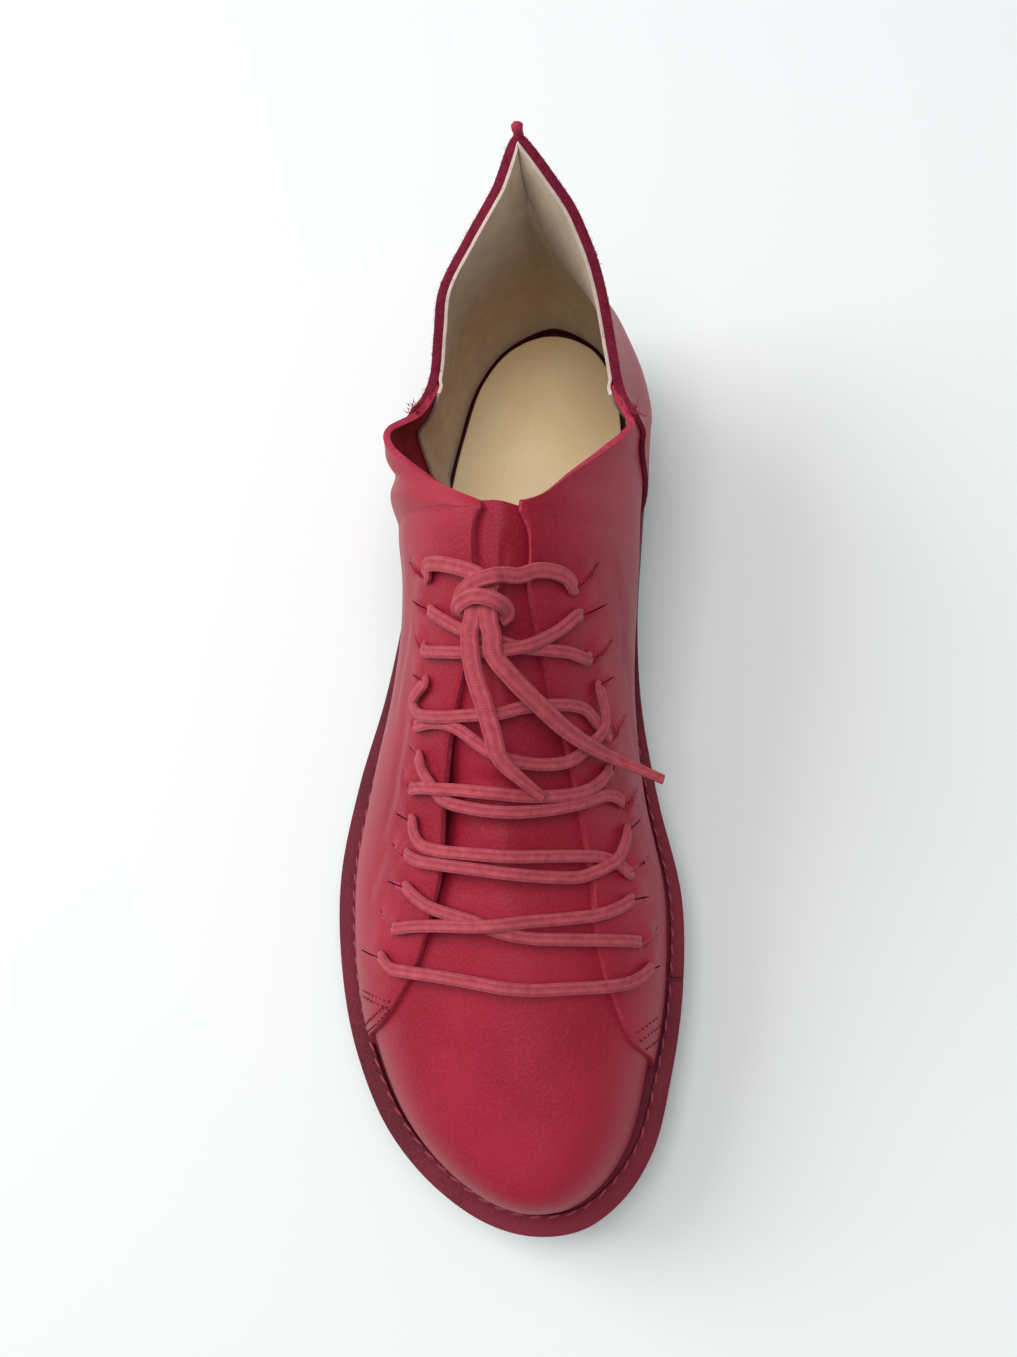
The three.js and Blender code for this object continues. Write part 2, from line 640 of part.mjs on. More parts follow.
// The rubber: a groove runs round its side, and cross grooves cut the tread at ball and heel.
function outsole() {
  const level = (share) => (y) => groundAt(y) + (outsoleTop(y) - groundAt(y)) * share;
  const body = plate([
    [inset(sideStep * 2), level(0)],
    [inset(sideStep / 2), level(0.2)],
    [inset(sideStep / 2), level(0.56)],
    [inset(sideStep * 1.4), level(0.62)],
    [inset(sideStep * 1.4), level(0.7)],
    [inset(0), level(0.76)],
    [inset(0), level(1)],
  ]);
  const zones = [[0.12, 0.41], [0.74, 0.93]];
  const grooves = zones.flatMap(([from, to]) => {
    const count = Math.floor(((to - from) * soleLength) / treadPitch);
    return Array.from({ length: count + 1 }, (_, i) => back(from) + i * treadPitch);
  });
  return grooves.reduce((solid, y) => {
    const place = new THREE.Matrix4().makeTranslation(0, y, groundAt(y));
    return solid.subtract(box(ballWidth * 2, treadWidth, treadDepth * 2, place));
  }, body);
}

// A flat cord through points with normals: its broad side lies along the upper.
function cord(middles, width, thick, taper) {
  const curve = new THREE.CatmullRomCurve3(middles.map((place) => place.point), false, 'centripetal');
  const steps = middles.length;
  const sides = 8;
  const rings = [];
  for (let i = 0; i <= steps; i += 1) {
    const t = i / steps;
    const point = curve.getPoint(t);
    const at = t * (middles.length - 1);
    const k = Math.min(Math.floor(at), middles.length - 2);
    const normal = middles[k].normal.clone().lerp(middles[k + 1].normal, at - k);
    const side = normal.clone().cross(curve.getTangent(t)).normalize();
    const up = curve.getTangent(t).cross(side).normalize();
    const size = 1 - taper * t;
    const ring = Array.from({ length: sides }, (_, j) => {
      const angle = (2 * Math.PI * (j + 0.5)) / sides;
      const out = point.clone().addScaledVector(side, (Math.cos(angle) * width * size) / 2);
      return out.addScaledVector(up, (Math.sin(angle) * thick) / 2);
    });
    rings.push(ring);
  }
  const faces = [];
  for (let i = 0; i < steps; i += 1) {
    for (let j = 0; j < sides; j += 1) {
      const next = (j + 1) % sides;
      const [a, b] = [i * sides + j, i * sides + next];
      faces.push([a, b, a + sides], [b, b + sides, a + sides]);
    }
  }
  const end = steps * sides;
  for (let j = 1; j + 1 < sides; j += 1) faces.push([0, j + 1, j], [end, end + j, end + j + 1]);
  return solidFrom(geometryFrom(rings.flat(), faces));
}

const strandLift = laceLift + laceThick / 2;
const strand = (rows) => cord(rows.map(([along, around]) => overUpper(along, around, strandLift)), laceWidth, laceThick, 0);
const looseEnd = (rows) => cord(rows.map(([along, around, lift]) => overUpper(along, around, lift)), laceEndWidth, laceThick, 0.45);
const crossing = (over, under) => strand(over).add(strand(under));

function knot() {
  const lift = laceLift + knotThick / 2;
  const { point, normal } = overUpper(knotPlace.along, knotPlace.around, lift);
  const acrossShoe = new THREE.Vector3(0, 1, 0).cross(normal).normalize();
  const place = new THREE.Matrix4().makeBasis(acrossShoe, normal.clone().cross(acrossShoe), normal).setPosition(point);
  const ball = new THREE.SphereGeometry(0.5, 14, 10).scale(knotLength, knotWidth, knotThick).applyMatrix4(place);
  return solidFrom(ball).add(strand(strands.knotLateral)).add(strand(strands.knotMedial));
}

const shoe = new THREE.Group();

function addPiece(name, solid, colour, roughness) {
  const mesh = solid.asOriginal().simplify(smallestDetail).getMesh();
  const geometry = new THREE.BufferGeometry();
  geometry.setAttribute('position', new THREE.BufferAttribute(new Float32Array(mesh.vertProperties), 3));
  geometry.setIndex(new THREE.BufferAttribute(new Uint32Array(mesh.triVerts), 1));
  geometry.computeVertexNormals();
  const piece = new THREE.Mesh(geometry, new THREE.MeshStandardMaterial({ color: colour, roughness, metalness: 0 }));
  piece.name = name;
  shoe.add(piece);
}

const red = 0x8f2431;
const laceRed = 0xc4505c;
addPiece('outsole', outsole(), 0x1d2421, 0.75);
addPiece('midsole', midsole(), 0x5a2028, 0.7);
addPiece('welt', welt(), 0x6e2330, 0.6);
addPiece('upper', upper(), red, 0.5);
addPiece('tongue', tongue(), red, 0.5);
addPiece('insole', insole(), 0xc3a577, 0.7);
addPiece('lace_bar_1', strand(strands.bar1), laceRed, 0.9);
for (const row of [2, 3, 4, 5, 6]) {
  addPiece(`lace_cross_${row}`, crossing(strands[`over${row}`], strands[`under${row}`]), laceRed, 0.9);
}
addPiece('lace_knot', knot(), laceRed, 0.9);
addPiece('lace_end_a', looseEnd(endA), laceRed, 0.9);
addPiece('lace_end_b', looseEnd(endB), laceRed, 0.9);

export default shoe;
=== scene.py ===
# A lace-up ankle shoe of soft red leather for the right foot, stitched down on a flat wedge sole.
# Lengths are millimetres until a mesh is made. The toe points to -Y, the outer side is -X.
import math

import bmesh
import bpy
import numpy as np
from mathutils import Matrix, Vector


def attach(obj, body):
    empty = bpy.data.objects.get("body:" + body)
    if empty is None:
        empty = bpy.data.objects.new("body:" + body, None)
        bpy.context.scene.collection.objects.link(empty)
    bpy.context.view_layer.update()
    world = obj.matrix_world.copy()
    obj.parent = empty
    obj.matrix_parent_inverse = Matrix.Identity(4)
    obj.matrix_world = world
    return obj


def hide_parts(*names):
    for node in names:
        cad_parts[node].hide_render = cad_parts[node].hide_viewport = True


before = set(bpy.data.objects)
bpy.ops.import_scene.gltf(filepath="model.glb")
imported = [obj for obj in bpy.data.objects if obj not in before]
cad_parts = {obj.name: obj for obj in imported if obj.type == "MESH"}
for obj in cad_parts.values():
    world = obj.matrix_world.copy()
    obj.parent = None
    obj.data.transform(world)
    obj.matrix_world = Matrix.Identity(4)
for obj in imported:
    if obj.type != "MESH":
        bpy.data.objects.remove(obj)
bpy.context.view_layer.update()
METRE = 0.001

# Sole sizes
sole_length = 266
ball_width = 97
outsole_thick = 8
heel_lift = 8
toe_spring = 5
arch_lift = 3
heel_bevel = 1.5
midsole_thick = 3.4
insole_thick = 3.5
tread_depth = 1.6
tread_width = 2.6
tread_pitch = 11
side_step = 0.9

# Upper sizes
upper_rise = 85
leather = 1.8
vamp_leather = 1.6
counter_step = 1.5
lining_thick = 0.9
flange_thick = 2
welt_thick = 1.7
welt_inset = 6
welt_joint = 0.6
seam_lap = 9
lining_shift = 7  # how far the lining's front edge lies behind the back part's
pinch_depth = 1.5

# Lace sizes
lace_width = 3.1
lace_thick = 1.7
lace_end_width = 4.5
lace_tip_width = 2.6
knot_width = 3.8
strand_lift = 1.5
hidden_lift = -2.9

piece_gap = 0.3
touch_gap = 0.06


def table(columns, rows):
    """Named columns from rows of numbers."""
    values = np.array(rows, float)
    return {name: values[:, i] for i, name in enumerate(columns.split())}


# Along runs from 0 at the toe to 1 at the heel. Back is a share of sole_length, and lateral and
# medial are shares of ball_width.
sole_shape = table("along back lateral medial", [
    [0.0, 0.0, 0.127, 0.127],
    [0.05, 0.009, -0.007, 0.256],
    [0.1, 0.036, -0.146, 0.354],
    [0.16, 0.083, -0.286, 0.434],
    [0.23, 0.154, -0.399, 0.477],
    [0.31, 0.241, -0.471, 0.501],
    [0.39, 0.335, -0.5, 0.488],
    [0.47, 0.432, -0.471, 0.413],
    [0.55, 0.53, -0.412, 0.354],
    [0.63, 0.628, -0.373, 0.329],
    [0.72, 0.733, -0.342, 0.331],
    [0.8, 0.831, -0.311, 0.333],
    [0.87, 0.914, -0.26, 0.297],
    [0.94, 0.974, -0.141, 0.189],
    [1.0, 1.0, 0.024, 0.024],
])

# Width of the stitched edge outside the upper, and of the strip on it, as shares of welt_inset.
welt_shape = table("along lateral medial lateral_strip medial_strip", [
    [0.0, 0.82, 0.82, 0.86, 0.86],
    [0.1, 0.87, 0.82, 0.88, 0.86],
    [0.23, 0.93, 0.83, 0.84, 0.72],
    [0.39, 1.0, 0.8, 0.8, 0.6],
    [0.55, 0.87, 0.67, 0.67, 0.47],
    [0.72, 0.63, 0.6, 0.42, 0.38],
    [0.87, 0.72, 0.72, 0.3, 0.3],
    [1.0, 0.77, 0.77, 0.32, 0.32],
])

# The line over the toes and instep, up to the throat.
ridge_shape = table("along across back rise", [
    [0.0, 0.116, 0.094, 0.378],
    [0.1, 0.106, 0.113, 0.406],
    [0.2, 0.086, 0.158, 0.468],
    [0.31, 0.055, 0.229, 0.535],
    [0.39, 0.034, 0.297, 0.594],
    [0.47, 0.024, 0.38, 0.681],
    [0.55, 0.013, 0.47, 0.782],
    [0.63, 0.013, 0.564, 0.881],
    [0.68, 0.013, 0.628, 0.942],
])

# The collar from the throat, down to the ankle and up to the pointed heel.
collar_shape = table("along lateral lateral_back lateral_rise medial medial_back medial_rise", [
    [0.68, 0.013, 0.628, 0.942, 0.013, 0.628, 0.942],
    [0.71, -0.115, 0.654, 0.864, 0.106, 0.645, 0.89],
    [0.74, -0.239, 0.686, 0.774, 0.176, 0.679, 0.799],
    [0.77, -0.325, 0.718, 0.698, 0.245, 0.712, 0.714],
    [0.8, -0.339, 0.746, 0.642, 0.298, 0.74, 0.651],
    [0.83, -0.27, 0.774, 0.591, 0.314, 0.763, 0.6],
    [0.86, -0.234, 0.808, 0.588, 0.271, 0.797, 0.582],
    [0.89, -0.218, 0.846, 0.659, 0.245, 0.834, 0.633],
    [0.92, -0.201, 0.879, 0.732, 0.215, 0.877, 0.729],
    [0.95, -0.135, 0.913, 0.821, 0.176, 0.912, 0.82],
    [0.975, -0.067, 0.947, 0.906, 0.119, 0.946, 0.907],
    [1.0, 0.003, 0.983, 1.0, 0.003, 0.983, 1.0],
])

# How each section leaves the sole (rise, lean) and comes in to its top (drop, crown).
section_columns = "along rise lean_lateral lean_medial drop_lateral crown_lateral drop_medial crown_medial"
section_shape = table(section_columns, [
    [0.0, 0.282, 0.021, 0.021, 0.024, 0.165, 0.024, 0.165],
    [0.1, 0.294, 0.021, 0.021, 0.024, 0.175, 0.024, 0.175],
    [0.2, 0.318, 0.015, 0.021, 0.035, 0.227, 0.035, 0.206],
    [0.31, 0.329, 0.012, 0.021, 0.047, 0.258, 0.047, 0.227],
    [0.39, 0.329, 0.01, 0.031, 0.047, 0.247, 0.047, 0.216],
    [0.47, 0.329, 0.01, 0.052, 0.059, 0.247, 0.059, 0.216],
    [0.55, 0.353, 0.01, 0.093, 0.071, 0.268, 0.071, 0.216],
    [0.63, 0.376, 0.01, 0.134, 0.082, 0.289, 0.082, 0.216],
    [0.68, 0.376, 0.031, 0.134, 0.094, 0.32, 0.094, 0.206],
    [0.71, 0.365, 0.052, 0.113, 0.141, 0.268, 0.153, 0.155],
    [0.74, 0.353, 0.052, 0.103, 0.188, 0.124, 0.188, 0.113],
    [0.77, 0.329, 0.041, 0.082, 0.2, 0.041, 0.2, 0.072],
    [0.8, 0.318, 0.031, 0.072, 0.2, 0.01, 0.2, 0.041],
    [0.83, 0.306, 0.041, 0.072, 0.2, 0.036, 0.2, 0.036],
    [0.86, 0.294, 0.041, 0.072, 0.212, 0.041, 0.212, 0.041],
    [0.89, 0.294, 0.052, 0.062, 0.235, 0.026, 0.247, 0.036],
    [0.92, 0.306, 0.052, 0.062, 0.282, -0.01, 0.282, 0.01],
    [0.95, 0.318, 0.062, 0.072, 0.341, -0.041, 0.341, -0.031],
    [1.0, 0.318, 0.093, 0.093, 0.424, -0.082, 0.424, -0.082],
])

# Front edges of the two quarters in plan, from the wing tips to the throat.
facing = table("back lateral medial", [
    [0.173, -0.347, 0.428],
    [0.184, -0.3, 0.391],
    [0.203, -0.251, 0.356],
    [0.226, -0.21, 0.328],
    [0.244, -0.184, 0.306],
    [0.286, -0.151, 0.276],
    [0.327, -0.128, 0.262],
    [0.383, -0.127, 0.231],
    [0.44, -0.113, 0.192],
    [0.496, -0.074, 0.139],
    [0.56, -0.05, 0.095],
    [0.628, -0.034, 0.07],
])

# Front edge of the back part, from the sole up to the collar. Rise is a share of upper_rise.
counter_edge = table("back rise", [
    [0.732, -0.1],
    [0.738, 0.18],
    [0.752, 0.38],
    [0.77, 0.59],
    [0.772, 0.8],
])

# Lace slits as along and around at the outer end and the inner end. Around is the share of the
# way from the ridge down to the sole, negative on the lateral side.
slits = {
    -1: [
        [0.327, -0.694, 0.327, -0.499], [0.369, -0.514, 0.354, -0.42],
        [0.394, -0.471, 0.393, -0.364], [0.425, -0.461, 0.417, -0.372],
        [0.449, -0.449, 0.446, -0.366], [0.484, -0.428, 0.47, -0.365],
        [0.504, -0.393, 0.495, -0.33], [0.53, -0.388, 0.518, -0.352],
        [0.56, -0.38, 0.556, -0.297], [0.597, -0.395, 0.58, -0.3],
        [0.616, -0.408, 0.61, -0.267], [0.645, -0.415, 0.634, -0.275],
    ],
    1: [
        [0.329, 0.782, 0.326, 0.665], [0.363, 0.752, 0.345, 0.587],
        [0.387, 0.679, 0.385, 0.55], [0.421, 0.73, 0.404, 0.562],
        [0.449, 0.7, 0.44, 0.584], [0.475, 0.72, 0.456, 0.533],
        [0.499, 0.569, 0.487, 0.497], [0.533, 0.646, 0.515, 0.492],
        [0.563, 0.537, 0.556, 0.415], [0.593, 0.512, 0.576, 0.372],
        [0.62, 0.459, 0.61, 0.313], [0.652, 0.405, 0.628, 0.283],
    ],
}

# Lace strands from a lateral slit to a medial one, as points along and around the upper, with
# the numbers of the slits that they come out of.
strands = {
    "bar_1": (1, 1, [
        [0.329, -0.473], [0.322, -0.428], [0.322, -0.348], [0.322, -0.228], [0.317, -0.096], [0.308, 0],
        [0.308, 0.103], [0.311, 0.244], [0.313, 0.403], [0.316, 0.513], [0.322, 0.596], [0.328, 0.644],
    ]),
    "over_2": (2, 3, [
        [0.358, -0.396], [0.364, -0.306], [0.369, -0.189], [0.372, -0.084], [0.374, 0.008],
        [0.375, 0.113], [0.375, 0.26], [0.376, 0.38], [0.38, 0.472], [0.385, 0.53],
    ]),
    "under_2": (3, 2, [
        [0.394, -0.342], [0.388, -0.298], [0.383, -0.241], [0.38, -0.17], [0.376, -0.084],
        [0.367, 0], [0.36, 0.11], [0.357, 0.254], [0.354, 0.418], [0.351, 0.559],
    ]),
    "over_3": (5, 4, [
        [0.447, -0.331], [0.437, -0.318], [0.43, -0.28], [0.429, -0.21], [0.432, -0.08],
        [0.431, 0.048], [0.423, 0.271], [0.419, 0.405], [0.412, 0.487], [0.405, 0.535],
    ]),
    "under_3": (4, 5, [
        [0.419, -0.34], [0.417, -0.29], [0.418, -0.22], [0.42, -0.08], [0.417, 0.048], [0.409, 0.192],
        [0.406, 0.307], [0.41, 0.392], [0.417, 0.465], [0.428, 0.525], [0.438, 0.551],
    ]),
    "over_4": (6, 7, [
        [0.472, -0.338], [0.475, -0.28], [0.479, -0.152], [0.483, -0.008], [0.477, 0.12],
        [0.474, 0.275], [0.476, 0.363], [0.482, 0.428], [0.489, 0.468],
    ]),
    "under_4": (7, 6, [
        [0.497, -0.307], [0.488, -0.291], [0.48, -0.253], [0.47, -0.192], [0.468, -0.079],
        [0.467, 0.048], [0.464, 0.195], [0.465, 0.317], [0.469, 0.462], [0.463, 0.53],
    ]),
    "over_5": (9, 8, [
        [0.556, -0.266], [0.548, -0.306], [0.538, -0.344], [0.531, -0.314], [0.531, -0.221],
        [0.538, -0.068], [0.542, 0.019], [0.545, 0.095], [0.545, 0.197], [0.543, 0.286],
        [0.538, 0.349], [0.526, 0.408], [0.516, 0.462],
    ]),
    "under_5": (8, 9, [
        [0.52, -0.32], [0.525, -0.241], [0.527, -0.165], [0.524, -0.106], [0.518, -0.054],
        [0.513, 0], [0.506, 0.068], [0.5, 0.178], [0.5, 0.278], [0.507, 0.349], [0.52, 0.418],
        [0.535, 0.44], [0.555, 0.415],
    ]),
    "over_6": (10, 11, [
        [0.58, -0.273], [0.581, -0.179], [0.583, -0.093], [0.587, 0], [0.59, 0.083],
        [0.595, 0.159], [0.601, 0.224], [0.611, 0.289],
    ]),
    "under_6": (11, 10, [
        [0.609, -0.231], [0.603, -0.158], [0.599, -0.101], [0.595, -0.01], [0.59, 0.067],
        [0.587, 0.172], [0.584, 0.268], [0.578, 0.348],
    ]),
}

# The two free ends: along, around, height of the middle over the quarters.
end_a = [
    [0.607, -0.052, 4.4], [0.599, -0.059, 4.3], [0.572, -0.049, 4.2], [0.55, -0.022, 4.2],
    [0.53, 0, 4.2], [0.511, 0.021, 4.2], [0.493, 0.079, 4.2], [0.477, 0.15, 4.2],
]
end_b = [
    [0.607, -0.012, 4.4], [0.599, -0.002, 4.3], [0.586, 0.003, 4.2], [0.567, 0.063, 4.2],
    [0.547, 0.14, 4.2], [0.528, 0.226, 4.2], [0.511, 0.331, 4.2], [0.497, 0.453, 4.9],
    [0.488, 0.509, 8.8], [0.479, 0.558, 12.4],
]

# The knot's three arcs in the same way: the two strands that come in, and the wrap over them.
knot_left = [
    [0.634, -0.26, 1.2], [0.641, -0.245, 1.6], [0.643, -0.2, 2.0], [0.642, -0.135, 2.0],
    [0.64, -0.084, 2.4], [0.637, -0.044, 3.0], [0.632, -0.018, 2.6], [0.627, -0.005, 2.0],
]
knot_right = [
    [0.631, 0.277, 1.2], [0.638, 0.246, 1.7], [0.642, 0.192, 1.8], [0.642, 0.128, 1.9],
    [0.638, 0.072, 2.4], [0.638, 0.023, 3.6], [0.637, -0.001, 4.2], [0.635, -0.025, 4.4],
    [0.631, -0.055, 4.4], [0.624, -0.08, 4.2], [0.617, -0.094, 3.2], [0.612, -0.088, 1.9],
]
knot_wrap = [
    [0.610, -0.1, 2.0], [0.614, -0.097, 3.6], [0.619, -0.076, 5.0], [0.6235, -0.045, 6.0],
    [0.6235, -0.015, 6.2], [0.621, 0.015, 5.6], [0.617, 0.034, 4.4], [0.612, 0.038, 2.8], [0.608, 0.02, 1.6],
]
# Inside the knot the two ends start under the wrap.
knot_start_a = [[0.628, -0.036, 2.6], [0.62, -0.045, 3.7], [0.612, -0.05, 4.3], [0.605, -0.0535, 4.38]]
knot_start_b = [[0.628, -0.018, 2.6], [0.62, -0.014, 3.7], [0.612, -0.012, 4.3], [0.605, -0.0095, 4.38]]


def across(share):
    return np.asarray(share) * ball_width


def back(share):
    return (np.asarray(share) - 0.5) * sole_length


def smooth(x):
    x = np.clip(x, 0, 1)
    return x * x * (3 - 2 * x)


def bell(x, middle=0.0, reach=1.0):
    """A rounded rise from 0 to 1 and back about the middle."""
    return np.exp(-(((x - middle) / reach) ** 2))


def swell(along, upward, rows):
    """Rounded rises, each with its height, and its middle and reach along and upward."""
    return sum(height * bell(along, *there) * bell(upward, *above) for height, there, above in rows)


def unit(vectors):
    return vectors / np.maximum(np.linalg.norm(vectors, axis=-1, keepdims=True), 1e-9)


# Heights of the sole's layers as functions of the place along the shoe.
spring_share = 0.205
wedge = (0.353, 0.767)
arch = (0.44, 0.7)
bevel_share = 0.945


def share_at(y):
    return y / sole_length + 0.5


def ground_at(y):
    spring = toe_spring * np.clip(1 - share_at(y) / spring_share, 0, 1) ** 2
    bow = np.clip((share_at(y) - arch[0]) / (arch[1] - arch[0]), 0, 1)
    bevel = heel_bevel * np.clip((share_at(y) - bevel_share) / (1 - bevel_share), 0, 1) ** 2
    return spring + arch_lift * np.sin(math.pi * bow) ** 2 + bevel


def outsole_top(y):
    spring = toe_spring * np.clip(1 - share_at(y) / spring_share, 0, 1) ** 2
    return outsole_thick + spring + heel_lift * smooth((share_at(y) - wedge[0]) / (wedge[1] - wedge[0]))


def midsole_top(y):
    return outsole_top(y) + piece_gap + midsole_thick


def seat_at(y):
    return midsole_top(y) + piece_gap + flange_thick


def spline(knots, values, t):
    """A smooth curve through rows of values, read at every t."""
    knots, values, t = np.asarray(knots, float), np.asarray(values, float), np.asarray(t, float)
    gaps = np.diff(knots)[:, None]
    gradients = np.diff(values, axis=0) / gaps
    slopes = np.vstack([gradients[:1], np.zeros_like(values[1:-1]), gradients[-1:]])
    slopes[1:-1] = (gradients[:-1] * gaps[1:] + gradients[1:] * gaps[:-1]) / (gaps[:-1] + gaps[1:])
    flat = t.ravel()
    k = np.clip(np.searchsorted(knots, flat, side="right") - 1, 0, len(knots) - 2)
    h = gaps[k]
    s = (flat - knots[k])[:, None] / h
    ease = s * s * (3 - 2 * s)
    lead = s * (1 - s) ** 2 * h * slopes[k]
    trail = s * s * (1 - s) * h * slopes[k + 1]
    found = values[k] + (values[k + 1] - values[k]) * ease + lead - trail
    return found.reshape(*t.shape, values.shape[1])


def round_curve(shape, lateral, medial):
    """A closed curve: t runs 0 to 1 down the lateral side to the heel, and to 2 up the medial side."""
    there = np.column_stack([shape["along"]] + [shape[name] for name in lateral])
    home = np.column_stack([2 - shape["along"]] + [shape[name] for name in medial])[-2:0:-1]
    once = np.vstack([there, home])
    turn = np.zeros_like(once[:3])
    turn[:, 0] = 2
    every = np.vstack([once[-3:] - turn, once, once[:3] + turn])
    return lambda t: spline(every[:, 0], every[:, 1:], np.mod(t, 2))


outline_curve = round_curve(sole_shape, ["lateral", "back"], ["medial", "back"])
welt_curve = round_curve(welt_shape, ["lateral", "lateral_strip"], ["medial", "medial_strip"])
section_curve = round_curve(
    section_shape,
    ["rise", "lean_lateral", "drop_lateral", "crown_lateral"],
    ["rise", "lean_medial", "drop_medial", "crown_medial"],
)
throat_along = 0.68


def chosen(shape, columns):
    return np.column_stack([shape[name] for name in columns.split()])


ridge_rows = chosen(ridge_shape, "along across back rise")
ridge_before = ridge_rows[2:0:-1] * np.array([-1, 1, 1, 1])
ridge_rows = np.vstack([ridge_before, ridge_rows])
collar_there = chosen(collar_shape, "along lateral lateral_back lateral_rise")
collar_home = chosen(collar_shape, "along medial medial_back medial_rise")
collar_home[:, 0] = 2 - collar_home[:, 0]
collar_rows = np.vstack([collar_there, collar_home[-2::-1]])


def top_point(t, tongue=False):
    """The section's highest point: on the ridge in front of the throat, then on the collar. The
    tongue follows the ridge all the way."""
    t = np.mod(t, 2)
    along = np.minimum(t, 2 - t)
    ridge = spline(ridge_rows[:, 0], ridge_rows[:, 1:], along if tongue else np.minimum(along, throat_along))
    collar = spline(collar_rows[:, 0], collar_rows[:, 1:], np.clip(t, throat_along, 2 - throat_along))
    value = ridge if tongue else np.where((along > throat_along)[..., None], collar, ridge)
    y = back(value[..., 1])
    return np.stack([across(value[..., 0]), y, seat_at(y) + value[..., 2] * upper_rise], axis=-1)


def outline_xy(t):
    value = outline_curve(t)
    return np.stack([across(value[..., 0]), back(value[..., 1])], axis=-1)


def outline_normal(t):
    step = 1e-4
    run = outline_xy(np.asarray(t) + step) - outline_xy(np.asarray(t) - step)
    return unit(np.stack([-run[..., 1], run[..., 0], np.zeros_like(run[..., 0])], axis=-1))


def outline_point(t, inset, height):
    """A point of the outline moved in by inset, at the height that the function gives."""
    normal = outline_normal(t)
    plan = outline_xy(t) - normal[..., :2] * np.asarray(inset)[..., None]
    return np.concatenate([plan, height(plan[..., 1])[..., None]], axis=-1)


def foot_inset(t):
    return welt_curve(t)[..., 0] * welt_inset


def strip_width(t):
    return welt_curve(t)[..., 1] * welt_inset


def last_point(t, v, tongue=False):
    """A point of the last: v runs from 0 at the sole to 1 at the ridge or collar."""
    t, v = np.broadcast_arrays(np.asarray(t, float), np.asarray(v, float))
    foot = outline_point(t, foot_inset(t), seat_at)
    top = top_point(t, tongue)
    rise, lean, drop, crown = np.moveaxis(section_curve(t), -1, 0)
    normal = outline_normal(t)
    low = foot + normal * across(lean)[..., None]
    low[..., 2] += rise * upper_rise
    high = top + normal * across(crown)[..., None]
    high[..., 2] -= drop * upper_rise
    w = (1 - v)[..., None]
    v = v[..., None]
    return foot * w**3 + low * 3 * w * w * v + high * 3 * w * v * v + top * v**3


def last_normal(t, v, tongue=False):
    step = 1e-3
    low = np.clip(v, step, 0.98)
    run = last_point(t + step, low, tongue) - last_point(t - step, low, tongue)
    upward = last_point(t, low + step, tongue) - last_point(t, low - step, tongue)
    return unit(np.cross(upward, run))


def over_upper(along, around, lift):
    """Points and normals over the upper. Around is 0 on the ridge and -1 or 1 at the foot."""
    along, around, lift = np.broadcast_arrays(*(np.asarray(x, float) for x in (along, around, lift)))
    t = np.where(around < 0, along, 2 - along)
    v = 1 - np.abs(around)
    normal = last_normal(t, v)
    other = last_normal(2 - t, v)
    share = np.clip(0.5 - np.abs(around) * 5, 0, 0.5)[..., None]
    normal = unit(normal * (1 - share) + other * share)
    return last_point(t, v) + normal * lift[..., None], normal


def side_t(along, side):
    return along if side < 0 else 2 - along


def place_in_plan(x, y, side):
    """Along and v of the points of one side's surface that lie over x, y."""
    grid = np.meshgrid(np.linspace(0.1, 0.75, 90), np.linspace(0.02, 1, 60), indexing="ij")
    tries = np.stack(grid, axis=-1).reshape(-1, 2)
    spots = last_point(side_t(tries[:, 0], side), tries[:, 1])
    miss = np.hypot(spots[:, 0] - x[:, None], spots[:, 1] - y[:, None]) - 0.02 * spots[:, 2]
    found = tries[np.argmin(miss, axis=1)].copy()
    step = 1e-4
    for _ in range(25):
        here = last_point(side_t(found[:, 0], side), found[:, 1])[:, :2]
        by_along = (last_point(side_t(found[:, 0] + step, side), found[:, 1])[:, :2] - here) / step
        by_v = (last_point(side_t(found[:, 0], side), found[:, 1] - step)[:, :2] - here) / -step
        jacobian = np.stack([by_along, by_v], axis=-1)
        jacobian += np.eye(2) * 1e-6
        move = np.linalg.solve(jacobian, (np.stack([x, y], axis=-1) - here)[..., None])[..., 0]
        found += np.clip(move, -0.03, 0.03)
        found[:, 1] = np.clip(found[:, 1], 0.0, 1.0)
    return found


def chord_spline(points, count=None, spacing=None):
    """Evenly spaced points on a smooth curve through the given ones, by their count or spacing."""
    points = np.asarray(points, float)
    knots = np.concatenate([[0], np.cumsum(np.linalg.norm(np.diff(points[:, :3], axis=0), axis=1) ** 0.5)])
    fine = spline(knots, points, np.linspace(0, knots[-1], 800))
    length = np.concatenate([[0], np.cumsum(np.linalg.norm(np.diff(fine[:, :3], axis=0), axis=1))])
    if spacing:
        count = max(8, int(round(length[-1] / spacing)))
    even = np.linspace(0, length[-1], count)
    return np.column_stack([np.interp(even, length, fine[:, i]) for i in range(fine.shape[1])])


# Node helpers
def add_node(tree, kind, inputs=None, **settings):
    node = tree.nodes.new(kind)
    for name, value in settings.items():
        setattr(node, name, value)
    for name, value in (inputs or {}).items():
        if isinstance(value, bpy.types.NodeSocket):
            tree.links.new(value, node.inputs[name])
        else:
            node.inputs[name].default_value = value
    return node


def new_group(name, kind, inputs, outputs):
    """A node group with named sockets. Inputs give each one's kind and first value."""
    tree = bpy.data.node_groups.new(name, kind)
    for label, socket, value in inputs:
        item = tree.interface.new_socket(label, in_out="INPUT", socket_type=socket)
        if value is not None:
            item.default_value = value
    for label, socket in outputs:
        tree.interface.new_socket(label, in_out="OUTPUT", socket_type=socket)
    return tree, tree.nodes.new("NodeGroupInput").outputs, tree.nodes.new("NodeGroupOutput")


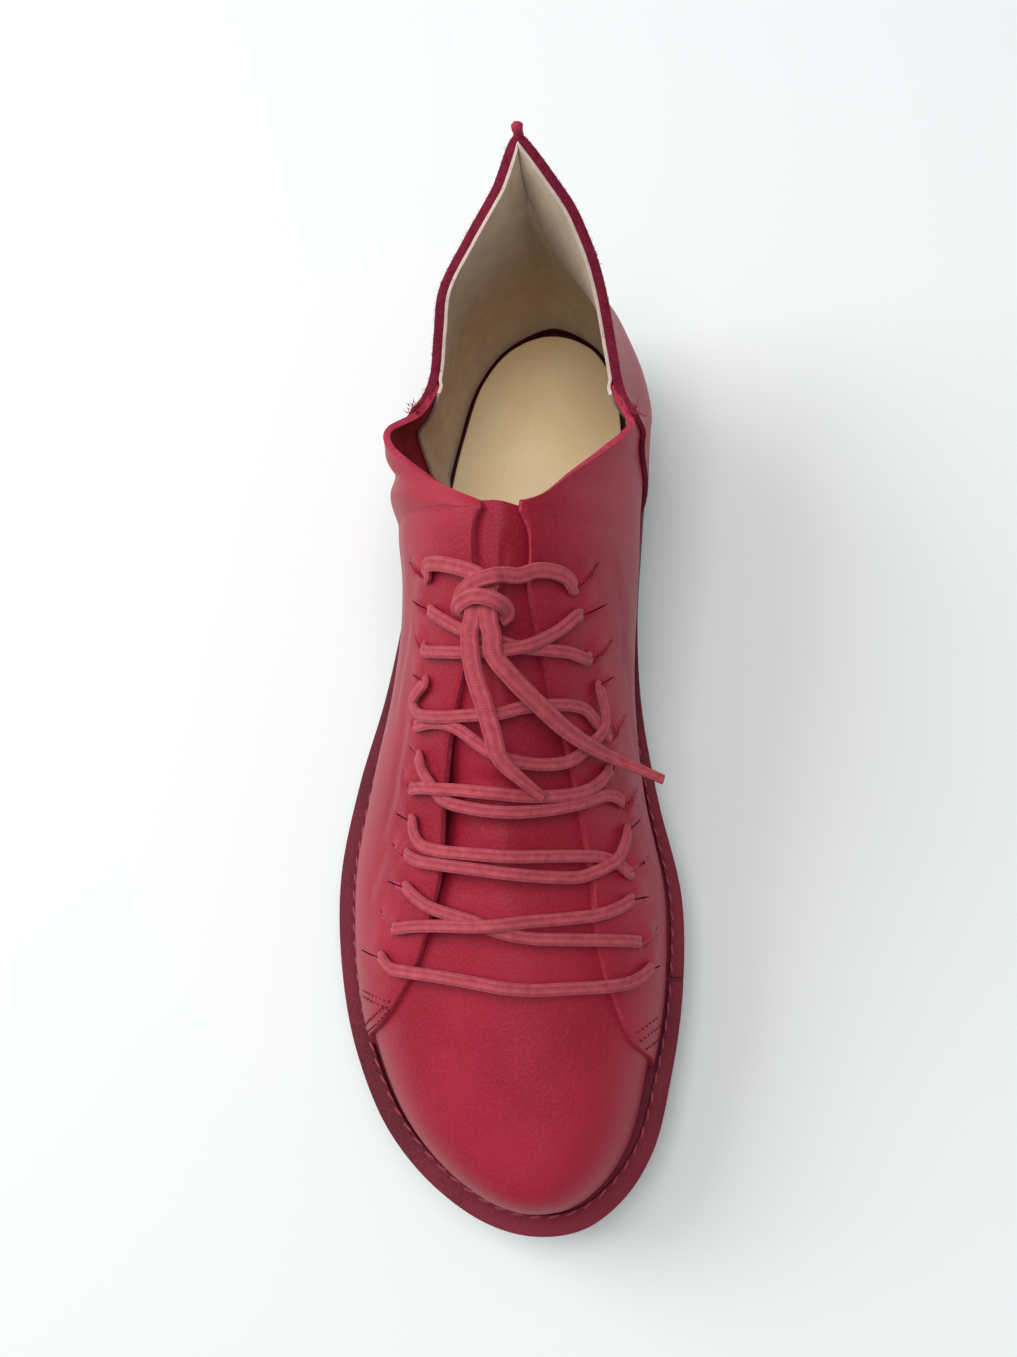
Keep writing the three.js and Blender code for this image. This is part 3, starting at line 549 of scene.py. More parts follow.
def math_node(tree, operation, first, second=0.5, third=None):
    node = tree.nodes.new("ShaderNodeMath")
    node.operation = operation
    for i, value in enumerate([first, second, third]):
        if value is None:
            continue
        if isinstance(value, bpy.types.NodeSocket):
            tree.links.new(value, node.inputs[i])
        else:
            node.inputs[i].default_value = value
    return node.outputs[0]


def sheet_colour(code):
    """A colour written as six hexadecimal digits, as the linear values that Blender mixes."""
    parts = [int(code[i:i + 2], 16) / 255 for i in (0, 2, 4)]
    return (*[c / 12.92 if c <= 0.04045 else ((c + 0.055) / 1.055) ** 2.4 for c in parts], 1)


FLOAT = "NodeSocketFloat"
SHADER = "ShaderNodeTree"


def noise(tree, place, scale, detail, **more):
    inputs = {"Vector": place, "Scale": scale, "Detail": detail, **more}
    return add_node(tree, "ShaderNodeTexNoise", inputs)


def make_grain_group():
    """Calf grain: small pebbles with pores between them, soft wrinkles, and a slow change of tone."""
    sockets = [("Pebble", FLOAT, 0.9), ("Pores", FLOAT, 0.35), ("Wrinkles", FLOAT, 0.5)]
    tree, given, out = new_group("calf grain", SHADER, sockets, [("Height", FLOAT), ("Tone", FLOAT)])
    place = add_node(tree, "ShaderNodeTexCoord").outputs["Object"]
    wobble = noise(tree, place, 900.0, 1.0)
    scale = math_node(tree, "DIVIDE", 1000.0, given["Pebble"])
    bent = add_node(tree, "ShaderNodeVectorMath", operation="MULTIPLY_ADD")
    tree.links.new(wobble.outputs["Color"], bent.inputs[0])
    bent.inputs[1].default_value = (0.0006, 0.0006, 0.0006)
    tree.links.new(place, bent.inputs[2])
    pebble = add_node(tree, "ShaderNodeTexVoronoi", {"Vector": bent.outputs[0], "Scale": scale})
    fine = noise(tree, place, 2400.0, 2.0)
    wrinkle = noise(tree, place, 60.0, 4.0)
    pores = math_node(tree, "MULTIPLY", pebble.outputs["Distance"], given["Pores"])
    folds = math_node(tree, "MULTIPLY", wrinkle.outputs["Fac"], given["Wrinkles"])
    height = math_node(tree, "SUBTRACT", folds, pores)
    height = math_node(tree, "MULTIPLY_ADD", fine.outputs["Fac"], 0.12, height)
    slow = noise(tree, place, 22.0, 3.0, Roughness=0.6)
    speckle = math_node(tree, "MULTIPLY_ADD", pebble.outputs["Distance"], 0.25, slow.outputs["Fac"])
    tree.links.new(height, out.inputs["Height"])
    tree.links.new(speckle, out.inputs["Tone"])
    return tree


def make_nap_group():
    """Short brushed fibres, as on a raw cut, suede or a felted lining."""
    sockets = [("Fibre", FLOAT, 0.25), ("Clumps", FLOAT, 3.0)]
    tree, given, out = new_group("brushed nap", SHADER, sockets, [("Height", FLOAT), ("Tone", FLOAT)])
    place = add_node(tree, "ShaderNodeTexCoord").outputs["Object"]
    fine_scale = math_node(tree, "DIVIDE", 1000.0, given["Fibre"])
    clump_scale = math_node(tree, "DIVIDE", 1000.0, given["Clumps"])
    fine = noise(tree, place, fine_scale, 3.0, Roughness=0.7)
    clump = noise(tree, place, clump_scale, 4.0)
    height = math_node(tree, "MULTIPLY_ADD", clump.outputs["Fac"], 0.8, fine.outputs["Fac"])
    clumps = math_node(tree, "MULTIPLY", clump.outputs["Fac"], 0.5)
    tone = math_node(tree, "MULTIPLY_ADD", fine.outputs["Fac"], 0.5, clumps)
    tree.links.new(height, out.inputs["Height"])
    tree.links.new(tone, out.inputs["Tone"])
    return tree


def make_braid_group():
    """Flat cotton braid: slanted yarns that meet along the middle, read from the piece's own UV map. Its tone
    is lighter on the ribs and darker in the grooves, a painted highlight and shade, with a random mottle.
    """
    sockets = [("Yarn", FLOAT, 0.9)]
    tree, given, out = new_group("cotton braid", SHADER, sockets, [("Height", FLOAT), ("Tone", FLOAT)])
    place = add_node(tree, "ShaderNodeUVMap", uv_map="lace").outputs["UV"]
    split = add_node(tree, "ShaderNodeSeparateXYZ", {"Vector": place})
    side = math_node(tree, "ABSOLUTE", math_node(tree, "SUBTRACT", split.outputs["Y"], 0.5))
    turns = math_node(tree, "DIVIDE", split.outputs["X"], given["Yarn"])
    rows = math_node(tree, "COSINE", math_node(tree, "MULTIPLY", split.outputs["Y"], 14 * math.pi))
    slant = math_node(tree, "MULTIPLY_ADD", rows, 0.3, math_node(tree, "MULTIPLY_ADD", side, 1.5, turns))
    yarn = math_node(tree, "SINE", math_node(tree, "MULTIPLY", slant, 2 * math.pi))
    fuzz_place = add_node(tree, "ShaderNodeTexCoord").outputs["Object"]
    fuzz = noise(tree, fuzz_place, 2600.0, 3.0)
    mottle = noise(tree, fuzz_place, 500.0, 2.0)
    height = math_node(tree, "MULTIPLY_ADD", yarn, 0.1, math_node(tree, "MULTIPLY", rows, 0.5))
    height = math_node(tree, "MULTIPLY_ADD", fuzz.outputs["Fac"], 0.9, height)
    tone = math_node(tree, "MULTIPLY_ADD", yarn, 0.05, 0.27)
    tone = math_node(tree, "MULTIPLY_ADD", mottle.outputs["Fac"], 0.5, tone)
    # Painted highlight and shade: the tone is lighter on the ribs and darker in the grooves between them.
    tone = math_node(tree, "MULTIPLY_ADD", rows, 0.08, tone)
    tree.links.new(height, out.inputs["Height"])
    tree.links.new(tone, out.inputs["Tone"])
    return tree


grain_group = make_grain_group()
nap_group = make_nap_group()
braid_with_painted_shade_group = make_braid_group()


def make_material(name, group, settings, light, dark, roughness, bump, depth, spread=(0.3, 0.75), **shader):
    """A finish: the group's tone mixes two colours and its height roughens the surface."""
    material = bpy.data.materials.new(name)
    material.use_nodes = True
    tree = material.node_tree
    principled = tree.nodes["Principled BSDF"]
    surface = add_node(tree, "ShaderNodeGroup", node_tree=group)
    for label, value in settings.items():
        surface.inputs[label].default_value = value
    reach = add_node(tree, "ShaderNodeMapRange", {"Value": surface.outputs["Tone"]})
    reach.inputs["From Min"].default_value, reach.inputs["From Max"].default_value = spread
    mix = add_node(tree, "ShaderNodeMix", data_type="RGBA")
    tree.links.new(reach.outputs["Result"], mix.inputs["Factor"])
    mix.inputs["A"].default_value = sheet_colour(dark)
    mix.inputs["B"].default_value = sheet_colour(light)
    tree.links.new(mix.outputs["Result"], principled.inputs["Base Color"])
    gloss = add_node(tree, "ShaderNodeMapRange", {"Value": surface.outputs["Tone"]})
    gloss.inputs["To Min"].default_value, gloss.inputs["To Max"].default_value = roughness
    tree.links.new(gloss.outputs["Result"], principled.inputs["Roughness"])
    height = surface.outputs["Height"]
    relief = add_node(tree, "ShaderNodeBump", {"Height": height, "Strength": bump, "Distance": depth})
    tree.links.new(relief.outputs["Normal"], principled.inputs["Normal"])
    for label, value in shader.items():
        principled.inputs[label.replace("_", " ")].default_value = value
    return material


calf = make_material(
    "red calf", grain_group, {"Pebble": 0.8, "Pores": 0.5, "Wrinkles": 0.9}, "A6263C", "841226",
    (0.36, 0.5), 0.45, 0.00025, Specular_IOR_Level=0.2, Coat_Weight=0.03, Coat_Roughness=0.25,
)
suede = make_material(
    "red flesh side", nap_group, {"Fibre": 0.3, "Clumps": 4.0}, "B42A44", "7C1028",
    (0.85, 0.95), 0.6, 0.0003, Specular_IOR_Level=0.2,
)
raw_edge = make_material(
    "raw cut edge", nap_group, {"Fibre": 0.28, "Clumps": 1.6}, "CC4A62", "982038",
    (0.75, 0.9), 0.7, 0.0003, Specular_IOR_Level=0.2,
)
# The cut edge colour made lighter than raw_edge: a painted highlight on the slit walls and on the steep lips
# beside the slits, which face away from the lamps.
slit_edge_painted_highlight = make_material(
    "slit cut edge with painted highlight", nap_group, {"Fibre": 0.28, "Clumps": 1.6}, "CE5C72", "A83650",
    (0.75, 0.9), 0.5, 0.0002, Specular_IOR_Level=0.2,
)
rim_edge = make_material(
    "collar cut edge", nap_group, {"Fibre": 0.3, "Clumps": 1.4}, "9A2444", "540A20",
    (0.8, 0.92), 0.8, 0.0003, Specular_IOR_Level=0.2,
)
welt_leather = make_material(
    "waxed wine leather", grain_group, {"Pebble": 0.7, "Pores": 0.4, "Wrinkles": 1.0}, "7C2234", "4C0E1C",
    (0.5, 0.65), 0.9, 0.0004, Specular_IOR_Level=0.2,
)
lining_felt = make_material(
    "beige lining", nap_group, {"Fibre": 0.35, "Clumps": 5.0}, "D9C8AE", "B7A288",
    (0.85, 0.95), 0.5, 0.0002, Sheen_Weight=0.15,
)
lining_edge = make_material(
    "pale lining edge", nap_group, {"Fibre": 0.3, "Clumps": 1.5}, "EAD9CC", "C9A79C",
    (0.85, 0.95), 0.6, 0.0002,
)
tan_leather = make_material(
    "tan insole leather", grain_group, {"Pebble": 0.6, "Pores": 0.6, "Wrinkles": 0.5}, "FAE4B8", "ECCD98",
    (0.6, 0.75), 0.4, 0.0002,
)
rubber = make_material(
    "black green rubber", nap_group, {"Fibre": 0.5, "Clumps": 6.0}, "1E2A22", "121A15",
    (0.55, 0.7), 0.25, 0.0001,
)
edge_dye = make_material(
    "dyed sole edge", nap_group, {"Fibre": 0.5, "Clumps": 3.0}, "4A1720", "2E0D13",
    (0.5, 0.65), 0.35, 0.00015,
)
# The braid's tone mixes these two colours: at random in a mottle, and lighter on the ribs and darker in the
# grooves, which is painted highlight and shade.
cotton = make_material(
    "red cotton lace with painted rib shade", braid_with_painted_shade_group, {"Yarn": 0.7}, "C45864", "983442",
    (0.85, 0.95), 0.7, 0.0002, Specular_IOR_Level=0.2, Sheen_Weight=0.08,
)
thread = make_material(
    "waxed red thread", nap_group, {"Fibre": 0.3, "Clumps": 1.2}, "B0485C", "802438",
    (0.5, 0.65), 0.4, 0.0001,
)
# The thread's red darkened to stand for the shade in the stitch holes: painted shade over the thread's own
# colour.
wing_thread_painted_shade = make_material(
    "red thread with painted hole shade", nap_group, {"Fibre": 0.3, "Clumps": 1.2}, "7C1428", "5C0C1C",
    (0.5, 0.65), 0.4, 0.0001, Specular_IOR_Level=0.2,
)


# Mesh helpers
def add_mesh(name, points, faces, materials, indices=None, sharp=40, close=None):
    """A mesh object from millimetre points, smooth but for edges sharper than the given angle."""
    mesh = bpy.data.meshes.new(name)
    mesh.from_pydata((np.asarray(points) * METRE).tolist(), [], [list(map(int, face)) for face in faces])
    for material in materials:
        mesh.materials.append(material)
    if indices is not None:
        mesh.polygons.foreach_set("material_index", np.asarray(indices, int))
    mesh.polygons.foreach_set("use_smooth", np.ones(len(mesh.polygons), bool))
    if close:
        merge(mesh, close)
    mesh.update()
    mesh.set_sharp_from_angle(angle=math.radians(sharp))
    piece = bpy.data.objects.new(name, mesh)
    bpy.context.scene.collection.objects.link(piece)
    return piece


def merge(mesh, distance):
    work = bmesh.new()
    work.from_mesh(mesh)
    bmesh.ops.remove_doubles(work, verts=work.verts, dist=distance * METRE)
    work.to_mesh(mesh)
    work.free()


def grid_faces(rows, columns, start=0, flip=False, wrap=False):
    faces = []
    for i in range(rows - 1):
        for j in range(columns if wrap else columns - 1):
            a = start + i * columns + j
            b = start + i * columns + (j + 1) % columns
            face = [a, b, b + columns, a + columns]
            faces.append(face[::-1] if flip else face)
    return faces


def shell(name, outer, inner, materials, open_side=(), bulge=0.15, painted_lip_highlight=None):
    """A sheet of leather with thickness. Outer and inner are grids of points; its cut sides are
    rounded. A side named in open_side gets no cut: it is closed by merging. The last argument marks
    the outer faces that show a cut edge: they get material 3, whose cut edge colour is lightened as a
    painted highlight."""
    rows, columns = outer.shape[:2]
    count = rows * columns
    points = [outer.reshape(-1, 3), inner.reshape(-1, 3)]
    faces = grid_faces(rows, columns) + grid_faces(rows, columns, count, flip=True)
    indices = [0] * ((rows - 1) * (columns - 1)) + [1] * ((rows - 1) * (columns - 1))
    if painted_lip_highlight is not None:
        indices[:painted_lip_highlight.size] = np.where(painted_lip_highlight, 3, 0).ravel().tolist()
    sides = {
        "first_row": ([(0, j) for j in range(columns)], (1, 0)),
        "last_column": ([(i, columns - 1) for i in range(rows)], (0, -1)),
        "last_row": ([(rows - 1, j) for j in range(columns - 1, -1, -1)], (-1, 0)),
        "first_column": ([(i, 0) for i in range(rows - 1, -1, -1)], (0, 1)),
    }
    levels = 4
    for side, (places, inward) in sides.items():
        if side in open_side:
            continue
        base = sum(len(block) for block in points)
        run = []
        for i, j in places:
            away = unit(outer[i, j] - outer[i + inward[0], j + inward[1]])
            for k in range(1, levels):
                share = k / levels
                between = outer[i, j] * (1 - share) + inner[i, j] * share
                run.append(between + away * bulge * math.sin(math.pi * share))
        points.append(np.array(run))
        for n in range(len(places) - 1):
            here, there = places[n], places[n + 1]
            left = [here[0] * columns + here[1]]
            right = [there[0] * columns + there[1]]
            left += [base + n * (levels - 1) + k for k in range(levels - 1)]
            right += [base + (n + 1) * (levels - 1) + k for k in range(levels - 1)]
            left.append(left[0] + count)
            right.append(right[0] + count)
            for k in range(levels):
                faces.append([right[k], left[k], left[k + 1], right[k + 1]])
                indices.append(2)
    return add_mesh(name, np.vstack(points), faces, materials, indices, close=0.002)


def ring_piece(name, profile, steps, materials, sharp=40, gap=None):
    """A solid swept round the shoe. The profile gives for all t a closed loop of inset, height
    pairs as arrays. A gap gives the t range that is left open."""
    if gap:
        t = np.linspace(gap[1], 2 + gap[0], steps)
    else:
        t = np.linspace(0, 2, steps, endpoint=False)
    loop = profile(t)
    rings = np.stack([outline_point(t, inset, height) for inset, height in loop], axis=1)
    count = rings.shape[1]
    faces = grid_faces(steps, count, wrap=True)
    if gap:
        faces += [list(range(count))[::-1], [(steps - 1) * count + k for k in range(count)]]
    else:
        last = (steps - 1) * count
        faces += [[last + k, last + (k + 1) % count, (k + 1) % count, k] for k in range(count)]
    return add_mesh(name, rings.reshape(-1, 3), faces, materials, None, sharp)


def plate_piece(name, rows, material, sharp):
    """A plate from level rings, lowest first, each an inset and a height function. Its caps are
    strips across the shoe."""
    steps = 420
    t = np.linspace(0, 2, steps, endpoint=False)
    rings = np.stack([outline_point(t, inset(t), height) for inset, height in rows])
    faces = grid_faces(len(rows), steps, wrap=True)
    top = (len(rows) - 1) * steps
    half = steps // 2
    for k in range(half):
        left, following = k, k + 1
        right, previous = (steps - k) % steps, steps - k - 1
        low = [left, following, previous, right] if k else [left, following, previous]
        if k == half - 1:
            low = [left, following, right]
        faces.append(low[::-1])
        faces.append([top + index for index in low])
    piece = add_mesh(name, rings.reshape(-1, 3), faces, [material], None, sharp)
    fix_normals(piece)
    return piece


def fix_normals(piece):
    work = bmesh.new()
    work.from_mesh(piece.data)
    bmesh.ops.recalc_face_normals(work, faces=work.faces)
    work.to_mesh(piece.data)
    work.free()


def keep_evaluated(piece):
    """Turns the piece with its modifiers into a plain mesh."""
    depsgraph = bpy.context.evaluated_depsgraph_get()
    mesh = bpy.data.meshes.new_from_object(piece.evaluated_get(depsgraph))
    piece.modifiers.clear()
    piece.data = mesh
    return piece


def cut(piece, cutter):
    tool = piece.modifiers.new("cut", "BOOLEAN")
    tool.operation = "DIFFERENCE"
    tool.object = cutter
    tool.solver = "EXACT"
    keep_evaluated(piece)
    bpy.data.objects.remove(cutter)
    return piece


# Quarters. The leather stands up behind a slit and drops in front of it. Both are heights, and
# reach says how far they spread. The second slit of each pair is turned up the most.
slit_open = 0.45
slit_turned = (1.2, 0.5)
slit_flat = (0.3, 0.2)
slit_reach = (3.4, 2.4)
slit_lean = 1.7
slit_far = 20
bridge_share = 0.7
bridge_rise = 0.6
bridge_reach = 4.2

# Height, then middle and reach along and upward, of the fuller places in front of the ankle, and
# of the hollow in the vamp beside the lateral facing, counted around instead of upward.
ankle_swells = [(1.6, (0.683, 0.06), (0.42, 0.2)), (1.0, (0.752, 0.025), (0.86, 0.09))]
vamp_hollow = (4.5, (0.45, 0.08), (-0.32, 0.17))


def slit_frames(side):
    """Start, end, direction, side direction and normal of each slit, in order from the toe."""
    frames = []
    for along, around, along_end, around_end in slits[side]:
        (start, end), normals = over_upper([along, along_end], [around, around_end], 0)
        direction = unit(end - start)
        normal = unit(normals.sum(axis=0))
        sideways = unit(np.cross(normal, direction))
        if sideways[1] < 0:
            sideways = -sideways
        outward = unit(np.cross(direction, sideways))
        frames.append((start, end, direction, sideways, outward * np.sign(np.dot(outward, normal))))
    return frames


def slit_relief(side, points):
    """How far the leather stands out at the slits. Each pair of slits has a bridge between them,
    with the lace behind it. The leather behind the second slit of a pair is turned up."""
    lift = np.zeros(points.shape[:-1])
    frames = slit_frames(side)
    for number, (start, end, direction, sideways, _) in enumerate(frames):
        local = points - start
        s = local @ direction / np.linalg.norm(end - start)
        d = local @ sideways
        near = np.abs(local).max(axis=-1) < slit_far
        opening = np.sin(math.pi * np.clip(s, 0, 1) ** slit_lean) * near
        high, low = slit_turned if number % 2 else slit_flat
        rise = np.where(d > 0, high * bell(d, 0, slit_reach[0]), -low * bell(d, 0, slit_reach[1]))
        lift += rise * opening
    for pair in zip(frames[::2], frames[1::2]):
        spots = [frame_of[0] + (frame_of[1] - frame_of[0]) * bridge_share for frame_of in pair]
        away = np.linalg.norm(points - (spots[0] + spots[1]) / 2, axis=-1)
        lift += bridge_rise * bell(away, 0, bridge_reach)
    return lift


def soft_folds(points, folds):
    """Soft troughs with a rounded ridge on one side. Each fold runs between two places on the
    upper, and has a depth and a width."""
    lift = np.zeros(points.shape[:-1])
    for along, around, along_end, around_end, depth, width in folds:
        (start, end), (normal, _) = over_upper([along, along_end], [around, around_end], 0)
        length = np.linalg.norm(end - start)
        direction = (end - start) / length
        beside = np.cross(normal, direction)
        local = points - start
        s = local @ direction / length
        d = local @ beside
        fade = smooth((s + 0.15) / 0.35) * smooth((1.15 - s) / 0.35) * (np.abs(local @ normal) < 15)
        lift += (0.6 * bell(d, 1.5 * width, width) - bell(d, 0, width)) * depth * fade
    return lift


# Folds of each quarter: where they start and end, depth and width.
quarter_folds = {
    -1: [
        (0.7, -0.4, 0.63, -0.6, 0.3, 4.5), (0.66, -0.46, 0.58, -0.66, 0.3, 3.5),
        (0.60, -0.44, 0.53, -0.56, 0.35, 2.4), (0.53, -0.42, 0.47, -0.5, 0.35, 2.2),
        (0.48, -0.46, 0.43, -0.53, 0.3, 2.2), (0.42, -0.49, 0.375, -0.6, 0.3, 2.4),
    ],
    1: [
        (0.65, 0.46, 0.6, 0.6, 0.3, 3.2), (0.59, 0.56, 0.555, 0.7, 0.3, 2.6),
        (0.53, 0.68, 0.5, 0.78, 0.3, 2.4), (0.47, 0.75, 0.43, 0.84, 0.25, 2.4),
    ],
}


def gentle_waves(points):
    """The slight unevenness of leather that was pulled over a last by hand."""
    x, y, z = np.moveaxis(points, -1, 0)
    return 0.12 * np.sin(x / 7.3 + y / 11.0 + 1.3) * np.sin(y / 8.7 - z / 9.1)


def counter_back(z):
    """Y of the back part's front edge at height z."""
    seat = seat_at(back(1.0))
    return np.interp(z, seat + counter_edge["rise"] * upper_rise, back(counter_edge["back"]))


def seam_along(side, v, shift):
    """Along of the seam line at each v, shift millimetres behind the back part's front edge."""
    low, high = np.full(v.shape, 0.66), np.full(v.shape, 0.95)
    for _ in range(40):
        middle = (low + high) / 2
        spot = last_point(side_t(middle, side), v)
        behind = spot[..., 1] > counter_back(spot[..., 2]) + shift
        high = np.where(behind, middle, high)
        low = np.where(behind, low, middle)
    return (low + high) / 2


def facing_line(side, count):
    """Along and v of the quarter's front edge, from the sole to the collar."""
    share = facing["lateral" if side < 0 else "medial"]
    found = place_in_plan(across(share), back(facing["back"]), side)
    low = found[0] - (found[1] - found[0]) * (found[0][1] / max(found[1][1] - found[0][1], 1e-3))
    low[1] = 0
    rows = found if found[0][1] < 0.02 else np.vstack([low, found])
    collar = np.linspace(throat_along, throat_along + 0.05, 400)
    x = last_point(side_t(collar, side), np.ones_like(collar))[:, 0]
    best = collar[np.argmin(np.abs(x - across(share[-1])))]
    rows = np.vstack([rows, [best, 1.0]])
    spots = last_point(side_t(rows[:, 0], side), rows[:, 1])
    even = chord_spline(np.column_stack([spots, rows]), count)
    line = even[:, 3:]
    line[:, 1] = np.clip(line[:, 1], 0, 1)
    return line


def make_quarter(side, name):
    rows, columns = 400, 92
    r = np.linspace(0, 1, rows)
    r = np.interp(r, [0, 0.14, 0.9, 1], [0, 0.3, 0.92, 1])
    s = np.interp(np.linspace(0, 1, columns), [0, 0.6, 1], [0, 0.34, 1])
    line = facing_line(side, 600)
    front = np.column_stack([np.interp(r, np.linspace(0, 1, 600), line[:, i]) for i in (0, 1)])
    rear = np.column_stack([seam_along(side, r, seam_lap), r])
    place = front[:, None] * (1 - s)[None, :, None] + rear[:, None] * s[None, :, None]
    t = side_t(place[..., 0], side)
    outer = last_point(t, place[..., 1])
    normal = last_normal(t, place[..., 1])
    lift = slit_relief(side, outer) + soft_folds(outer, quarter_folds[side]) + gentle_waves(outer)
    lift = lift * smooth((1.02 - place[..., 1]) / 0.06) * smooth((1 - s) * 14)[None]
    # Faces on the steep steps of the relief beside the slits get material 3: the cut edge colour, lightened
    # as a painted highlight on the lips.
    jump = np.abs(np.diff(lift, axis=0)) > 0.4
    painted_lip_highlight = jump[:, 1:] | jump[:, :-1]
    lift = lift - 0.25 * bell(s * 60)[None]
    if side < 0:
        lift = lift + swell(place[..., 0], place[..., 1], ankle_swells)
    outer = outer + normal * lift[..., None]
    inner = outer - normal * leather
    if side > 0:
        outer, inner, painted_lip_highlight = outer[:, ::-1], inner[:, ::-1], painted_lip_highlight[:, ::-1]
    piece = shell(name, outer, inner, [calf, suede, raw_edge, slit_edge_painted_highlight], painted_lip_highlight=painted_lip_highlight)
    return cut(piece, make_slit_cutter(side))


def make_slit_cutter(side):
    """Lens-shaped blades, one for each slit. Their faces give the slit walls material 3, the cut edge
    colour lightened as a painted highlight.
    """
    points, faces = [], []
    steps = 12
    for start, end, direction, sideways, normal in slit_frames(side):
        base = len(points)
        length = np.linalg.norm(end - start)
        for height in (-4.5, 4.5):
            for k in range(steps):
                angle = 2 * math.pi * k / steps
                along = math.cos(angle)
                half = slit_open / 2 * math.copysign(abs(math.sin(angle)) ** 0.8, math.sin(angle))
                spot = (start + end) / 2 + direction * along * length / 2
                points.append(spot + sideways * half + normal * height)
        faces.append([base + k for k in range(steps)][::-1])
        faces.append([base + steps + k for k in range(steps)])
        for k in range(steps):
            following = (k + 1) % steps
            faces.append([base + k, base + following, base + steps + following, base + steps + k])
    cutter = add_mesh("slit_blades", points, faces, [calf, suede, raw_edge, slit_edge_painted_highlight], [3] * len(faces))
    fix_normals(cutter)
    return cutter


# Vamp and tongue in one piece
tongue_folds = [
    (0.49, -0.12, 0.485, 0.14, 0.35, 1.6), (0.455, -0.1, 0.45, 0.2, 0.3, 1.8),
    (0.53, -0.1, 0.53, 0.1, 0.3, 1.8), (0.40, -0.15, 0.398, 0.2, 0.25, 2.2),
    (0.35, -0.1, 0.345, 0.25, 0.2, 2.4), (0.62, 0.03, 0.66, 0.03, 0.3, 1.6),
]


def make_vamp():
    columns, rows = 361, 110
    t = np.linspace(-1, 1, columns) * (throat_along + 0.004)
    lowest = np.zeros(columns)
    for side in (-1, 1):
        line = facing_line(side, 200)
        edge = np.interp(np.abs(t), line[:, 0], line[:, 1])
        tucked = np.clip(edge - 0.14, 0, 1) * smooth((np.abs(t) - 0.28) / 0.1)
        lowest = np.where((t > 0) if side < 0 else (t <= 0), tucked, lowest)
    r = np.linspace(0, 1, rows)
    v = lowest[:, None] + (1 - lowest[:, None]) * r[None]
    place = np.broadcast_to(np.mod(t, 2)[:, None], v.shape)
    normal = last_normal(place, v, tongue=True)
    mirror = normal[::-1] * (v[::-1] > 0.88)[..., None]
    share = np.clip((v - 0.9) * 5, 0, 0.5)[..., None]
    normal = unit(normal * (1 - share) + mirror * share)
    skin = relax_ridge(last_point(place, v, tongue=True), v)
    along, around = np.abs(t)[:, None], (1 - v) * np.where(t > 0, -1, 1)[:, None]
    sink = swell(along, around, [vamp_hollow])
    sink = sink + 0.5 * smooth((along - 0.4) / 0.1) * bell(around, 0.3, 0.2)
    lift = soft_folds(skin, tongue_folds) + gentle_waves(skin) * 0.6 - sink * smooth((1 - around) * 3)
    outer = skin + normal * (np.minimum(lift, 0.1) - leather - touch_gap)[..., None]
    inner = outer - normal * vamp_leather
    return shell("vamp_and_tongue", outer, inner, [calf, suede, raw_edge], open_side=("last_column",))


def relax_ridge(points, v):
    """Rounds the line where the two sides meet over the toes and the instep."""
    weight = smooth((v - 0.62) / 0.3)[..., None] * 0.9
    for _ in range(320):
        padded = np.concatenate([points, points[::-1, -2:-1]], axis=1)
        across_sum = padded[:, 2:] + padded[:, :-2]
        mean = points.copy()
        mean[:, 1:] = across_sum / 2
        mean[1:-1, 1:] = (across_sum[1:-1] + points[2:, 1:] + points[:-2, 1:]) / 4
        points = points + (mean - points) * weight
        points[:, -1] = (points[:, -1] + points[::-1, -1]) / 2
    return points


# Back part and its lining
def back_grid(shift, columns, rows):
    r = np.linspace(0, 1, rows)
    lateral = seam_along(-1, r, shift)
    medial = 2 - seam_along(1, r, shift)
    s = np.linspace(0, 1, columns)
    t = lateral[:, None] * (1 - s)[None] + medial[:, None] * s[None]
    return t, np.broadcast_to(r[:, None], t.shape), s


def back_normal(t, v):
    normal = last_normal(t, v)
    level = unit(normal * np.array([1, 1, 0]))
    share = smooth((v - 0.8) / 0.2)[..., None]
    return unit(normal * (1 - share) + level * share)


def heel_pinch(t, v):
    """The back part is folded sharply down its middle: the leather beside the fold lies further in."""
    d = np.abs(t - 1 - 0.022 * smooth((1 - v) / 0.45)) * 290
    return -pinch_depth * (1 - np.exp(-d / 1.6)) * bell(d, 0, 10) * smooth((v - 0.5) / 0.3)


def back_skin(shift):
    """Surface, normals and share of the way from the nearer front edge, for the back part and its lining."""
    t, v, s = back_grid(shift, 260, 100)
    normal = back_normal(t, v)
    skin = last_point(t, v)
    skin = skin + normal * (heel_pinch(t, v) + gentle_waves(skin))[..., None]
    return skin, normal, np.minimum(s, 1 - s)[None]


def make_back_part():
    skin, normal, share = back_skin(0)
    under = 0.05 - smooth((share * 180 - seam_lap - 0.5) / 4)
    outer = skin + normal * counter_step
    inner = skin + normal * under[..., None]
    return shell("back_part", outer, inner, [calf, suede, rim_edge], bulge=0.25)


def make_lining():
    skin, normal, share = back_skin(lining_shift)
    depth = -leather - 0.12 + (leather - 0.93) * smooth((share * 165 - 2.8) / 4)
    outer = skin + normal * depth[..., None]
    inner = skin + normal * (depth - lining_thick)[..., None]
    return shell("lining", outer, inner, [suede, lining_felt, lining_edge], bulge=0.1)


